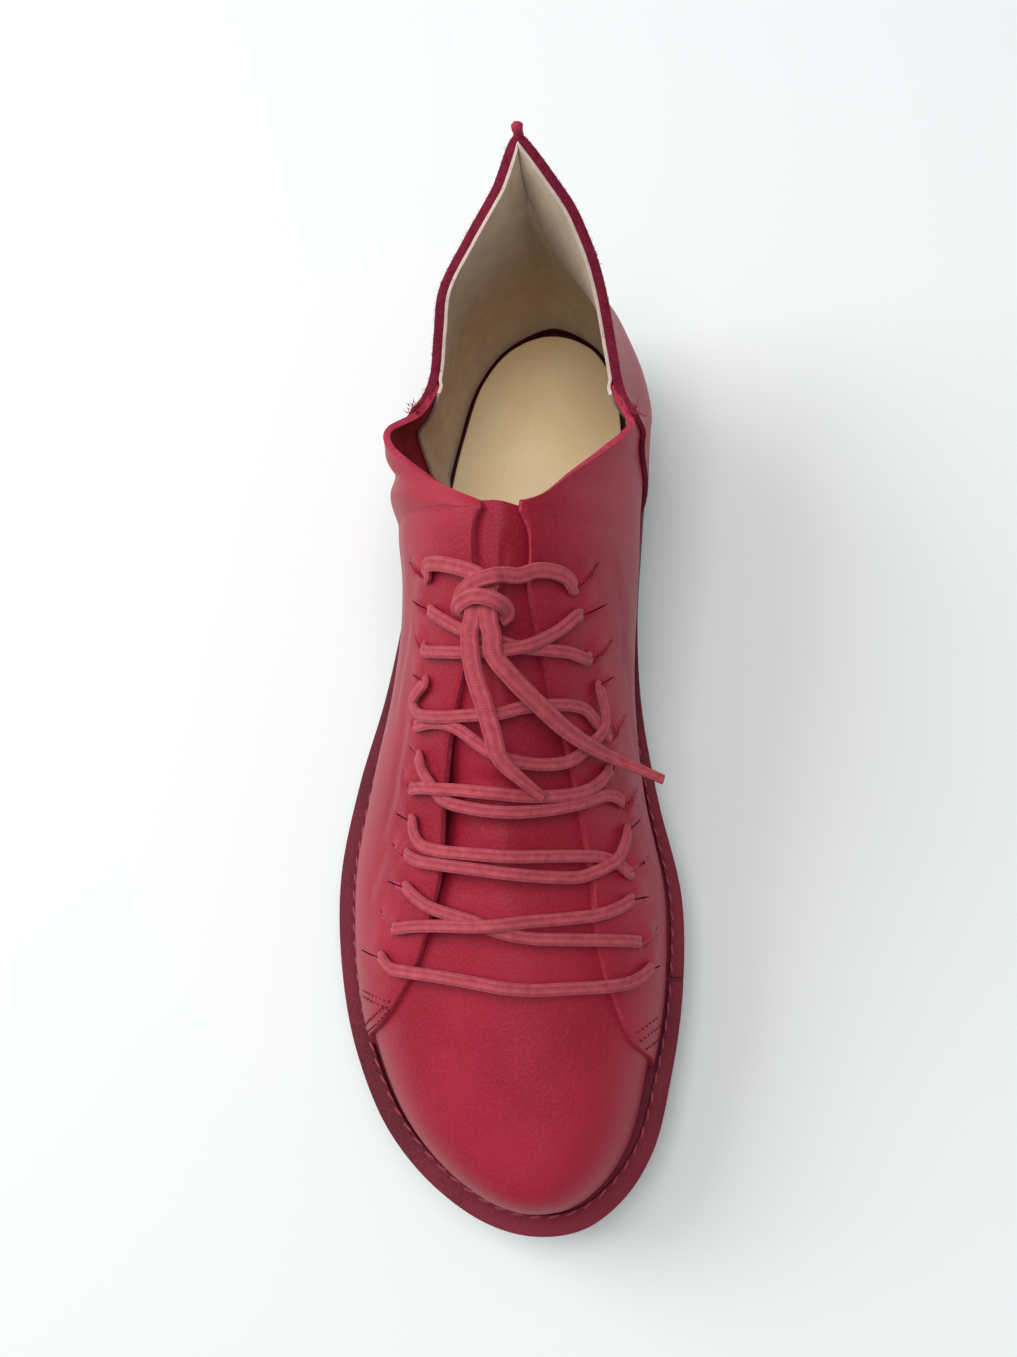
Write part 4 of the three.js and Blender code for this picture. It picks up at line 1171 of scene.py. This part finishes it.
# Sole pieces
def rounded_plate(name, inset, low, high, radius, material):
    """A plate with rounded upper and lower edges."""
    rows = []
    for k in range(4):
        angle = math.pi / 2 * k / 3
        rows.append((lambda t, a=angle: inset(t) + radius * (1 - math.sin(a)),
                     lambda y, a=angle: low(y) + radius * (1 - math.cos(a))))
    for k in range(4):
        angle = math.pi / 2 * k / 3
        rows.append((lambda t, a=angle: inset(t) + radius * (1 - math.cos(a)),
                     lambda y, a=angle: high(y) - radius * (1 - math.sin(a))))
    return plate_piece(name, rows, material, 50)


def level(value):
    return lambda t: np.full(np.shape(t), float(value))


def make_flange():
    """The upper's turned-out edge, under the strip."""
    def low(y):
        return midsole_top(y) + 0.05

    def profile(t):
        inner = foot_inset(t) + 1.9
        return [
            (inner, low), (inner, seat_at), (np.full(t.shape, 0.35), seat_at),
            (np.full(t.shape, 0.08), lambda y: seat_at(y) - 0.3),
            (np.full(t.shape, 0.0), lambda y: seat_at(y) - 1.0),
            (np.full(t.shape, 0.08), lambda y: low(y) + 0.25), (np.full(t.shape, 0.35), low),
        ]
    piece = ring_piece("turned_out_edge", profile, 500, [welt_leather], 35)
    fix_normals(piece)
    return piece


welt_joint_along = 0.318
joint_t = 2 - welt_joint_along


def strip_low(y):
    return seat_at(y) + 0.05


def strip_high(y):
    return seat_at(y) + piece_gap + welt_thick


def make_welt():
    def profile(t):
        width = strip_width(t)
        flat = np.ones(t.shape)
        return [
            (width, strip_low), (width, lambda y: strip_high(y) - 0.35),
            (width - 0.12, lambda y: strip_high(y) - 0.1), (width - 0.4, strip_high),
            (width * 0.5, lambda y: strip_high(y) + 0.05), (flat * 0.5, strip_high),
            (flat * 0.15, lambda y: strip_high(y) - 0.12), (flat * 0.0, lambda y: strip_high(y) - 0.45),
            (flat * 0.0, lambda y: strip_low(y) + 0.3), (flat * 0.12, strip_low),
        ]
    half = welt_joint / sole_length
    gap = (joint_t - 2 - half, joint_t - 2 + half)
    piece = ring_piece("welt_strip", profile, 600, [welt_leather], 35, gap)
    fix_normals(piece)
    return piece


def make_insole():
    def edge(t):
        along = np.minimum(t, 2 - t)
        wall = 2 * leather + (2.7 - 2 * leather) * smooth((along - 0.42) / 0.1)
        return foot_inset(t) + wall + 0.6 + 1.6 * bell(along, 1, 0.04)

    def low(y):
        return midsole_top(y) + piece_gap

    return rounded_plate("insole_sock", edge, low, lambda y: low(y) + insole_thick, 0.7, tan_leather)


def make_midsole():
    return rounded_plate(
        "midsole_layer", level(0.25), lambda y: outsole_top(y) + 0.05, lambda y: midsole_top(y) - 0.02,
        0.35, edge_dye,
    )


def make_outsole():
    def height(share):
        return lambda y: ground_at(y) + (outsole_top(y) - ground_at(y)) * share

    rows = [
        (2.4 * side_step, 0.0), (2.0 * side_step, 0.02), (0.9 * side_step, 0.09), (0.55 * side_step, 0.2),
        (0.45 * side_step, 0.36), (0.5 * side_step, 0.54), (0.7 * side_step, 0.58), (1.35 * side_step, 0.61),
        (1.5 * side_step, 0.65), (1.4 * side_step, 0.7), (0.4 * side_step, 0.74), (0.1 * side_step, 0.78),
        (0.0, 0.84), (0.05 * side_step, 0.96), (0.35 * side_step, 1.0),
    ]
    rings = [(level(inset), height(share)) for inset, share in rows]
    piece = plate_piece("rubber_sole", rings, rubber, 35)
    points, faces = [], []
    for first, last in ((0.12, 0.41), (0.74, 0.93)):
        for k in range(int((last - first) * sole_length / tread_pitch) + 1):
            y = float(back(first)) + k * tread_pitch
            base = len(points)
            for z in (-4.0, float(ground_at(y)) + tread_depth):
                taper = tread_width / 2 * (1.25 if z < 0 else 0.8)
                points += [(-90, y - taper, z), (90, y - taper, z), (90, y + taper, z), (-90, y + taper, z)]
            faces += [
                [base + 3, base + 2, base + 1, base], [base + 4, base + 5, base + 6, base + 7],
                [base, base + 1, base + 5, base + 4], [base + 1, base + 2, base + 6, base + 5],
                [base + 2, base + 3, base + 7, base + 6], [base + 3, base, base + 4, base + 7],
            ]
    return cut(piece, add_mesh("tread_blades", points, faces, [rubber]))


# Laces
def run_frames(points, normals):
    """Side and up of a path whose broad side faces the normals."""
    tangent = unit(np.gradient(points, axis=0))
    side = unit(np.cross(normals, tangent))
    return side, unit(np.cross(tangent, side))


def lace_mesh(name, run, width, thick):
    """A flat braid with two soft ridges on each face, swept along a run of points and normals."""
    points = run[:, :3]
    side, up = run_frames(points, unit(run[:, 3:]))
    count = len(points)
    width = np.broadcast_to(width, count)
    thick = np.broadcast_to(thick, count)
    sides = 20
    rings = []
    for k in range(sides):
        angle = 2 * math.pi * k / sides
        x = math.copysign(abs(math.cos(angle)) ** 0.75, math.cos(angle))
        z = math.copysign(abs(math.sin(angle)) ** 0.6, math.sin(angle))
        z *= 1 - 0.2 * bell(x, 0, 0.22)
        rings.append(points + side * (x * width / 2)[:, None] + up * (z * thick / 2)[:, None])
    rings = np.stack(rings, axis=1)
    faces = grid_faces(count, sides, wrap=True)
    faces += [list(range(sides))[::-1], [(count - 1) * sides + k for k in range(sides)]]
    piece = add_mesh(name, rings.reshape(-1, 3), faces, [cotton], None, 60)
    length = np.concatenate([[0], np.cumsum(np.linalg.norm(np.diff(points, axis=0), axis=1))])
    layer = piece.data.uv_layers.new(name="lace")
    for polygon in piece.data.polygons:
        for corner, vertex in zip(polygon.loop_indices, polygon.vertices):
            k = vertex % sides
            if k == 0 and any(v % sides == sides - 1 for v in polygon.vertices):
                k = sides
            layer.data[corner].uv = (length[vertex // sides], k / sides)
    fix_normals(piece)
    return piece


def slit_entry(side, number):
    """Points that lead from the hidden run behind the bridge out through a slit."""
    frames = slit_frames(side)
    own = frames[number - 1]
    partner = frames[number if number % 2 else number - 2]

    def spot(frame_of, share, lift):
        start, end, _, _, normal = frame_of
        return np.concatenate([start + (end - start) * share + normal * lift, normal])

    here, there = spot(own, 0.72, hidden_lift), spot(partner, 0.72, hidden_lift)
    return [(here + there) / 2, spot(own, 0.76, -1.4)]


def surface_path(rows, lift=None):
    rows = np.asarray(rows, float)
    points, normals = over_upper(rows[:, 0], rows[:, 1], rows[:, 2] if lift is None else lift)
    return np.column_stack([points, normals])


def strand_path(lateral_slit, medial_slit, rows):
    middle = surface_path(rows, strand_lift)
    first = slit_entry(-1, lateral_slit)
    last = slit_entry(1, medial_slit)
    return chord_spline(np.vstack([first, middle, last[::-1]]), spacing=0.6)


def raise_over(upper_run, lower_run, where=None):
    """Lifts one strand where it lies on another, with soft shoulders."""
    gap = np.linalg.norm(upper_run[:, None, :3] - lower_run[None, :, :3], axis=2).min(axis=1)
    need = lace_thick * 1.02 * smooth(1.25 - gap / (lace_width * 0.95))
    if where is not None:
        need = need * where
    kernel = bell(np.arange(-12, 13), 0, 6)
    need = np.convolve(np.maximum(need, 0), kernel / kernel.sum(), mode="same")
    lifted = upper_run.copy()
    lifted[:, :3] += unit(upper_run[:, 3:]) * need[:, None]
    return lifted


def make_crossing(row):
    """Two strands that cross. In rows 3 and 5 the second one lies on top at the medial end."""
    over = strand_path(*strands[f"over_{row}"])
    under = strand_path(*strands[f"under_{row}"])
    medial_over = smooth((np.linspace(0, 1, len(over)) - 0.6) / 0.1)
    medial_under = smooth((np.linspace(0, 1, len(under)) - 0.6) / 0.1)
    if row in (3, 5):
        lifted = raise_over(over, under, 1 - medial_over)
        under = raise_over(under, over, medial_under)
    else:
        lifted = raise_over(over, under)
    pieces = []
    for label, run in (("over", lifted), ("under", under)):
        pieces.append(lace_mesh(f"lace_{label}_{row}", run, lace_width, lace_thick))
    return pieces


def make_end(name, rows, length_of_flat):
    """A free end: wide where it leaves the knot, narrow at its bare tip."""
    run = chord_spline(surface_path(rows), spacing=0.6)
    share = np.linspace(0, 1, len(run))
    narrow = smooth((share - length_of_flat) / (1 - length_of_flat))
    width = lace_end_width + (lace_tip_width - lace_end_width) * narrow
    piece = lace_mesh(name, run, width, lace_thick * (1 - 0.15 * share))
    length = np.linalg.norm(np.diff(run[:, :3], axis=0), axis=1).sum()
    return piece, run[:, :3], length


# Stitches
def make_stitch_tree():
    """Stitches laid along a line whose points carry the direction that they face."""
    sockets = [
        ("Geometry", "NodeSocketGeometry", None), ("Spacing", FLOAT, 0.004), ("Length", FLOAT, 0.003),
        ("Thickness", FLOAT, 0.0007), ("Slant", FLOAT, 0.0), ("Material", "NodeSocketMaterial", None),
    ]
    outputs = [("Geometry", "NodeSocketGeometry")]
    tree, given, out = new_group("stitch row", "GeometryNodeTree", sockets, outputs)
    line = add_node(tree, "GeometryNodeMeshToCurve", {"Mesh": given["Geometry"]})
    spots = add_node(tree, "GeometryNodeResampleCurve", {"Curve": line.outputs[0]})
    spots.mode = "LENGTH"
    tree.links.new(given["Spacing"], spots.inputs["Length"])
    bead = add_node(tree, "GeometryNodeMeshUVSphere", {"Segments": 8, "Rings": 6, "Radius": 0.5})
    size = add_node(tree, "ShaderNodeCombineXYZ", {
        "X": given["Length"], "Y": given["Thickness"], "Z": given["Thickness"],
    })
    bead_shape = {"Geometry": bead.outputs["Mesh"], "Scale": size.outputs[0]}
    long_bead = add_node(tree, "GeometryNodeTransform", bead_shape)
    up = add_node(tree, "GeometryNodeInputNamedAttribute", {"Name": "up"}, data_type="FLOAT_VECTOR")
    run = add_node(tree, "GeometryNodeInputTangent")
    aim = add_node(tree, "FunctionNodeAxesToRotation", primary_axis="Z", secondary_axis="X")
    tree.links.new(up.outputs["Attribute"], aim.inputs[0])
    tree.links.new(run.outputs[0], aim.inputs[1])
    lean = add_node(tree, "ShaderNodeCombineXYZ", {"Z": given["Slant"]})
    turn = add_node(tree, "FunctionNodeEulerToRotation", {"Euler": lean.outputs[0]})
    spin = add_node(tree, "FunctionNodeRotateRotation", rotation_space="LOCAL")
    tree.links.new(aim.outputs[0], spin.inputs[0])
    tree.links.new(turn.outputs[0], spin.inputs[1])
    copies = add_node(tree, "GeometryNodeInstanceOnPoints", {
        "Points": spots.outputs[0], "Instance": long_bead.outputs[0], "Rotation": spin.outputs[0],
    })
    real = add_node(tree, "GeometryNodeRealizeInstances", {"Geometry": copies.outputs[0]})
    soft = add_node(tree, "GeometryNodeSetShadeSmooth", {"Geometry": real.outputs[0]})
    coloured = {"Geometry": soft.outputs[0], "Material": given["Material"]}
    finish = add_node(tree, "GeometryNodeSetMaterial", coloured)
    tree.links.new(finish.outputs[0], out.inputs[0])
    return tree


stitch_tree = make_stitch_tree()


def stitch_row(name, lines, spacing, length, thick, slant, material):
    """Stitches along one or more lines of points with facing directions."""
    points = np.vstack([line[:, :3] for line in lines])
    ups = np.vstack([line[:, 3:] for line in lines])
    edges, start = [], 0
    for line in lines:
        edges += [(start + k, start + k + 1) for k in range(len(line) - 1)]
        start += len(line)
    mesh = bpy.data.meshes.new(name)
    mesh.from_pydata((points * METRE).tolist(), edges, [])
    attribute = mesh.attributes.new("up", "FLOAT_VECTOR", "POINT")
    attribute.data.foreach_set("vector", ups.ravel())
    piece = bpy.data.objects.new(name, mesh)
    bpy.context.scene.collection.objects.link(piece)
    rows = piece.modifiers.new("stitches", "NODES")
    rows.node_group = stitch_tree
    values = {
        "Spacing": spacing * METRE, "Length": length * METRE, "Thickness": thick * METRE,
        "Slant": math.radians(slant), "Material": material,
    }
    for item in stitch_tree.interface.items_tree:
        if item.in_out == "INPUT" and item.name in values:
            rows[item.identifier] = values[item.name]
    keep_evaluated(piece)
    return piece


def make_welt_stitches():
    t = np.linspace(joint_t - 2 + 0.01, joint_t - 0.01, 700)
    line = outline_point(t, strip_width(t) - 0.5, lambda y: strip_high(y) + 0.1)
    ups = np.tile([0.0, 0.0, 1.0], (len(t), 1))
    return stitch_row("welt_stitches", [np.column_stack([line, ups])], 4.6, 3.6, 0.8, 10, thread)


# The rows of stitches that hold the wing tips down, as places along and around.
wing_seams = {
    -1: [
        [(0.291, -0.86), (0.289, -0.66), (0.2875, -0.487)], [(0.286, -0.86), (0.283, -0.67), (0.281, -0.507)],
        [(0.279, -0.494), (0.2615, -0.614), (0.248, -0.8)],
        [(0.2795, -0.535), (0.2655, -0.656), (0.2545, -0.8)],
    ],
    1: [
        [(0.27, 0.612), (0.2765, 0.69), (0.2824, 0.776)], [(0.262, 0.645), (0.27, 0.745), (0.2755, 0.86)],
        [(0.2545, 0.71), (0.26, 0.8), (0.2635, 0.89)],
    ],
}


def wing_rows(side):
    lines = []
    for places in wing_seams[side]:
        run = chord_spline(surface_path(places, 0.12), spacing=0.4)
        lines.append(np.column_stack([run[:, :3], unit(run[:, 3:])]))
    return lines


# Raw fibres
def fibre_mesh(name, roots, directions, length, thick, material, seed, spread=0.6):
    """Bent slivers with three sides that stand up from their roots and end in a point."""
    chance = np.random.default_rng(seed)
    count = len(roots)
    lean = unit(np.asarray(directions) + chance.normal(0, spread, (count, 3)))
    curl = np.cross(lean, chance.normal(0, 1, (count, 3))) * 0.5
    size = length * chance.uniform(0.45, 1.2, count)
    side = unit(np.cross(lean, [0.3, 0.2, 0.9]))
    other = np.cross(lean, side)
    points, faces = [], []
    for i in range(count):
        base = len(points)
        for k in range(3):
            share = k / 3
            middle = roots[i] + (lean[i] * share + curl[i] * share * share) * size[i]
            for n in range(3):
                angle = 2 * math.pi * n / 3
                radius = thick * (1 - share * 0.7)
                points.append(middle + (side[i] * math.cos(angle) + other[i] * math.sin(angle)) * radius)
        points.append(roots[i] + (lean[i] + curl[i]) * size[i])
        faces.append([base + 2, base + 1, base])
        for k in range(2):
            for n in range(3):
                a, b = base + 3 * k + n, base + 3 * k + (n + 1) % 3
                faces.append([a, b, b + 3, a + 3])
        for n in range(3):
            faces.append([base + 6 + n, base + 6 + (n + 1) % 3, base + 9])
    return add_mesh(name, points, faces, [material], None, 180)


def rim_line(count, depth, ends=None):
    """Places on the back part's upper edge, some way in from its outer face."""
    if ends is None:
        ends = back_grid(0, 2, 2)[0][1]
    t = np.linspace(ends[0], ends[1], count)
    v = np.ones(count)
    normal = back_normal(t, v)
    lift = counter_step - depth + heel_pinch(t, v) + gentle_waves(last_point(t, v))
    return last_point(t, v) + normal * lift[:, None], normal


def make_rim_fibres():
    chance = np.random.default_rng(4)
    roots, normals = rim_line(2600, chance.uniform(-0.1, 2.5, 2600))
    ups = np.tile([0.0, 0.0, 1.0], (len(roots), 1))
    return fibre_mesh("rim_fibres", roots - ups * 0.12, ups + normals * 0.3, 0.85, 0.075, raw_edge, 5, 0.9)


def make_seam_tufts():
    """Loose thread ends where the back part's seams reach the collar."""
    chance = np.random.default_rng(11)
    line, normals = rim_line(200, np.full(200, 0.8))
    roots, directions = [], []
    for place in (1, -2):
        for _ in range(34):
            roots.append(line[place] + chance.normal(0, 0.9, 3))
            directions.append(normals[place] * 0.6 + np.array([0, -0.3, 0.8]))
    return fibre_mesh("seam_tufts", np.array(roots), np.array(directions), 1.9, 0.2, raw_edge, 12, 0.8)


def make_heel_nub():
    """The knot of raw leather on the tip of the heel."""
    line, _ = rim_line(3, np.full(3, 0.9), (0.999, 1.001))
    heights = np.array([-1.0, 0.0, 0.9, 1.9, 2.8, 3.5, 3.8])
    radii = np.array([1.4, 1.3, 1.15, 1.4, 1.45, 1.0, 0.2])
    steps = 16
    angle = np.linspace(0, 2 * math.pi, steps, endpoint=False)
    rings = []
    for height, radius in zip(heights, radii):
        wobble = radius * (1 + 0.12 * np.sin(3 * angle + height * 2))
        plan = [wobble * np.cos(angle), wobble * np.sin(angle) * 0.8]
        ring = np.column_stack([*plan, np.full(steps, height)])
        rings.append(line[1] + ring + np.array([0.0, 0.15 * height, 0.0]))
    rings = np.stack(rings)
    faces = grid_faces(len(heights), steps, wrap=True)
    faces += [list(range(steps))[::-1], [(len(heights) - 1) * steps + k for k in range(steps)]]
    piece = add_mesh("heel_nub", rings.reshape(-1, 3), faces, [raw_edge], None, 60)
    fix_normals(piece)
    return piece


# Build every piece
quarter_lateral = make_quarter(-1, "quarter_lateral")
quarter_medial = make_quarter(1, "quarter_medial")
vamp = make_vamp()
back_part = make_back_part()
lining = make_lining()
flange = make_flange()
welt = make_welt()
insole = make_insole()
midsole = make_midsole()
outsole = make_outsole()
welt_stitches = make_welt_stitches()
wing_stitches = [stitch_row(f"wing_stitches_{label}", wing_rows(side), 1.9, 1.0, 0.5, 0, wing_thread_painted_shade)
                 for side, label in ((-1, "lateral"), (1, "medial"))]

end_a_piece, end_a_path, end_a_length = make_end("lace_tail_a", end_a, 0.55)
end_b_piece, end_b_path, end_b_length = make_end("lace_tail_b", end_b, 0.4)
bar_run = strand_path(*strands["bar_1"])
bar = lace_mesh("lace_bar", bar_run, lace_width, lace_thick)
crossings = {row: make_crossing(row) for row in (2, 3, 4, 5, 6)}
knot_pieces = []
for label, rows, entry, width, thick in (
    ("left", knot_left, (-1, 12), knot_width, lace_thick),
    ("right", knot_right, (1, 12), knot_width, lace_thick),
    ("wrap", knot_wrap, None, knot_width, lace_thick),
    ("start_a", knot_start_a, None, lace_end_width - 0.12, lace_thick - 0.08),
    ("start_b", knot_start_b, None, lace_end_width - 0.12, lace_thick - 0.08),
):
    run = surface_path(rows)
    if entry:
        run = np.vstack([slit_entry(*entry), run])
    run = chord_spline(run, spacing=0.5)
    knot_pieces.append(lace_mesh(f"lace_knot_{label}", run, width, thick))

# What rides on the root, the name of a material slot, and the parts that it stands for, which are hidden
upper_pieces = [
    quarter_lateral, quarter_medial, back_part, lining, flange, *wing_stitches,
    make_rim_fibres(), make_seam_tufts(), make_heel_nub(),
]
riders = [(piece, "upper_leather", ["upper"]) for piece in upper_pieces]
riders += [
    (vamp, "upper_leather", ["tongue", "upper"]), (welt, "welt_leather", ["welt"]),
    (welt_stitches, "welt_leather", ["welt"]), (insole, "insole_leather", ["insole"]),
    (midsole, "midsole_leather", ["midsole"]), (outsole, "outsole_rubber", ["outsole"]),
    (bar, "lace", ["lace_bar_1"]),
]
riders += [(piece, "lace", [f"lace_cross_{row}"]) for row, pieces in crossings.items() for piece in pieces]
riders += [(piece, "lace", ["lace_knot"]) for piece in knot_pieces]
riders += [(end_a_piece, "lace", ["lace_end_a"]), (end_b_piece, "lace", ["lace_end_b"])]
for piece, slot, nodes in riders:
    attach(piece, "root")
    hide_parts(*nodes)

# Floor, light and camera
floor_mesh = bpy.data.meshes.new("floor")
reach = 6.0
corners = [(-reach, -reach, 0), (reach, -reach, 0), (reach, reach, 0), (-reach, reach, 0)]
floor_mesh.from_pydata(corners, [], [(0, 1, 2, 3)])
floor = bpy.data.objects.new("floor", floor_mesh)
bpy.context.scene.collection.objects.link(floor)
floor_paint = bpy.data.materials.new("pale floor")
floor_paint.use_nodes = True
floor_shader = floor_paint.node_tree.nodes["Principled BSDF"]
floor_shader.inputs["Base Color"].default_value = (0.88, 0.9, 0.9, 1)
floor_shader.inputs["Roughness"].default_value = 0.7
floor_mesh.materials.append(floor_paint)

world = bpy.data.worlds.new("studio")
bpy.context.scene.world = world
world.use_nodes = True
sky = world.node_tree.nodes["Background"]
sky.inputs["Color"].default_value = (0.96, 0.98, 1.0, 1)
sky.inputs["Strength"].default_value = 0.24


def add_softbox(name, place, aim, size, power):
    lamp = bpy.data.lights.new(name, "AREA")
    lamp.shape = "RECTANGLE"
    lamp.size, lamp.size_y = size
    lamp.energy = power
    box = bpy.data.objects.new(name, lamp)
    box.location = place
    box.rotation_euler = (Vector(aim) - Vector(place)).to_track_quat("-Z", "Y").to_euler()
    bpy.context.scene.collection.objects.link(box)


add_softbox("window left", (-1.3, 0.4, 1.1), (0, 0, 0.05), (1.2, 1.2), 19)
add_softbox("ceiling", (0.0, 0.05, 1.6), (0, 0, 0), (1.1, 1.1), 14.5)

# The photograph's own view: where the camera stands, how it tilts and rolls, and the point of
# the picture on which the shoe is centred here.
camera_place = (43.0, -79.15, 365.0)
camera_tilt = math.radians(16.34)
camera_roll = math.radians(2.795)
camera_yaw = math.radians(-0.748)
focal_pixels = 1250.0
picture = (1017, 1357)
shoe_centre_pixel = (338, 697)
sensor = 36.0

camera_data = bpy.data.cameras.new("camera")
camera_data.sensor_width = sensor
camera_data.lens = focal_pixels * sensor / picture[1]
camera_data.clip_start = 0.01
camera = bpy.data.objects.new("camera", camera_data)
upright = Matrix.Rotation(camera_yaw, 3, "Z") @ Matrix.Rotation(camera_tilt, 3, "X")
upright = upright @ Matrix.Rotation(camera_roll, 3, "Z")
away_x = (shoe_centre_pixel[0] - picture[0] / 2) / focal_pixels
away_y = -(shoe_centre_pixel[1] - picture[1] / 2) / focal_pixels
aimed = Vector((0, 0, -1)).rotation_difference(Vector((away_x, away_y, -1))).to_matrix()
camera.matrix_world = Matrix.Translation(Vector(camera_place) * METRE) @ (upright @ aimed).to_4x4()
bpy.context.scene.collection.objects.link(camera)
bpy.context.scene.camera = camera
bpy.context.scene.view_settings.view_transform = "Standard"
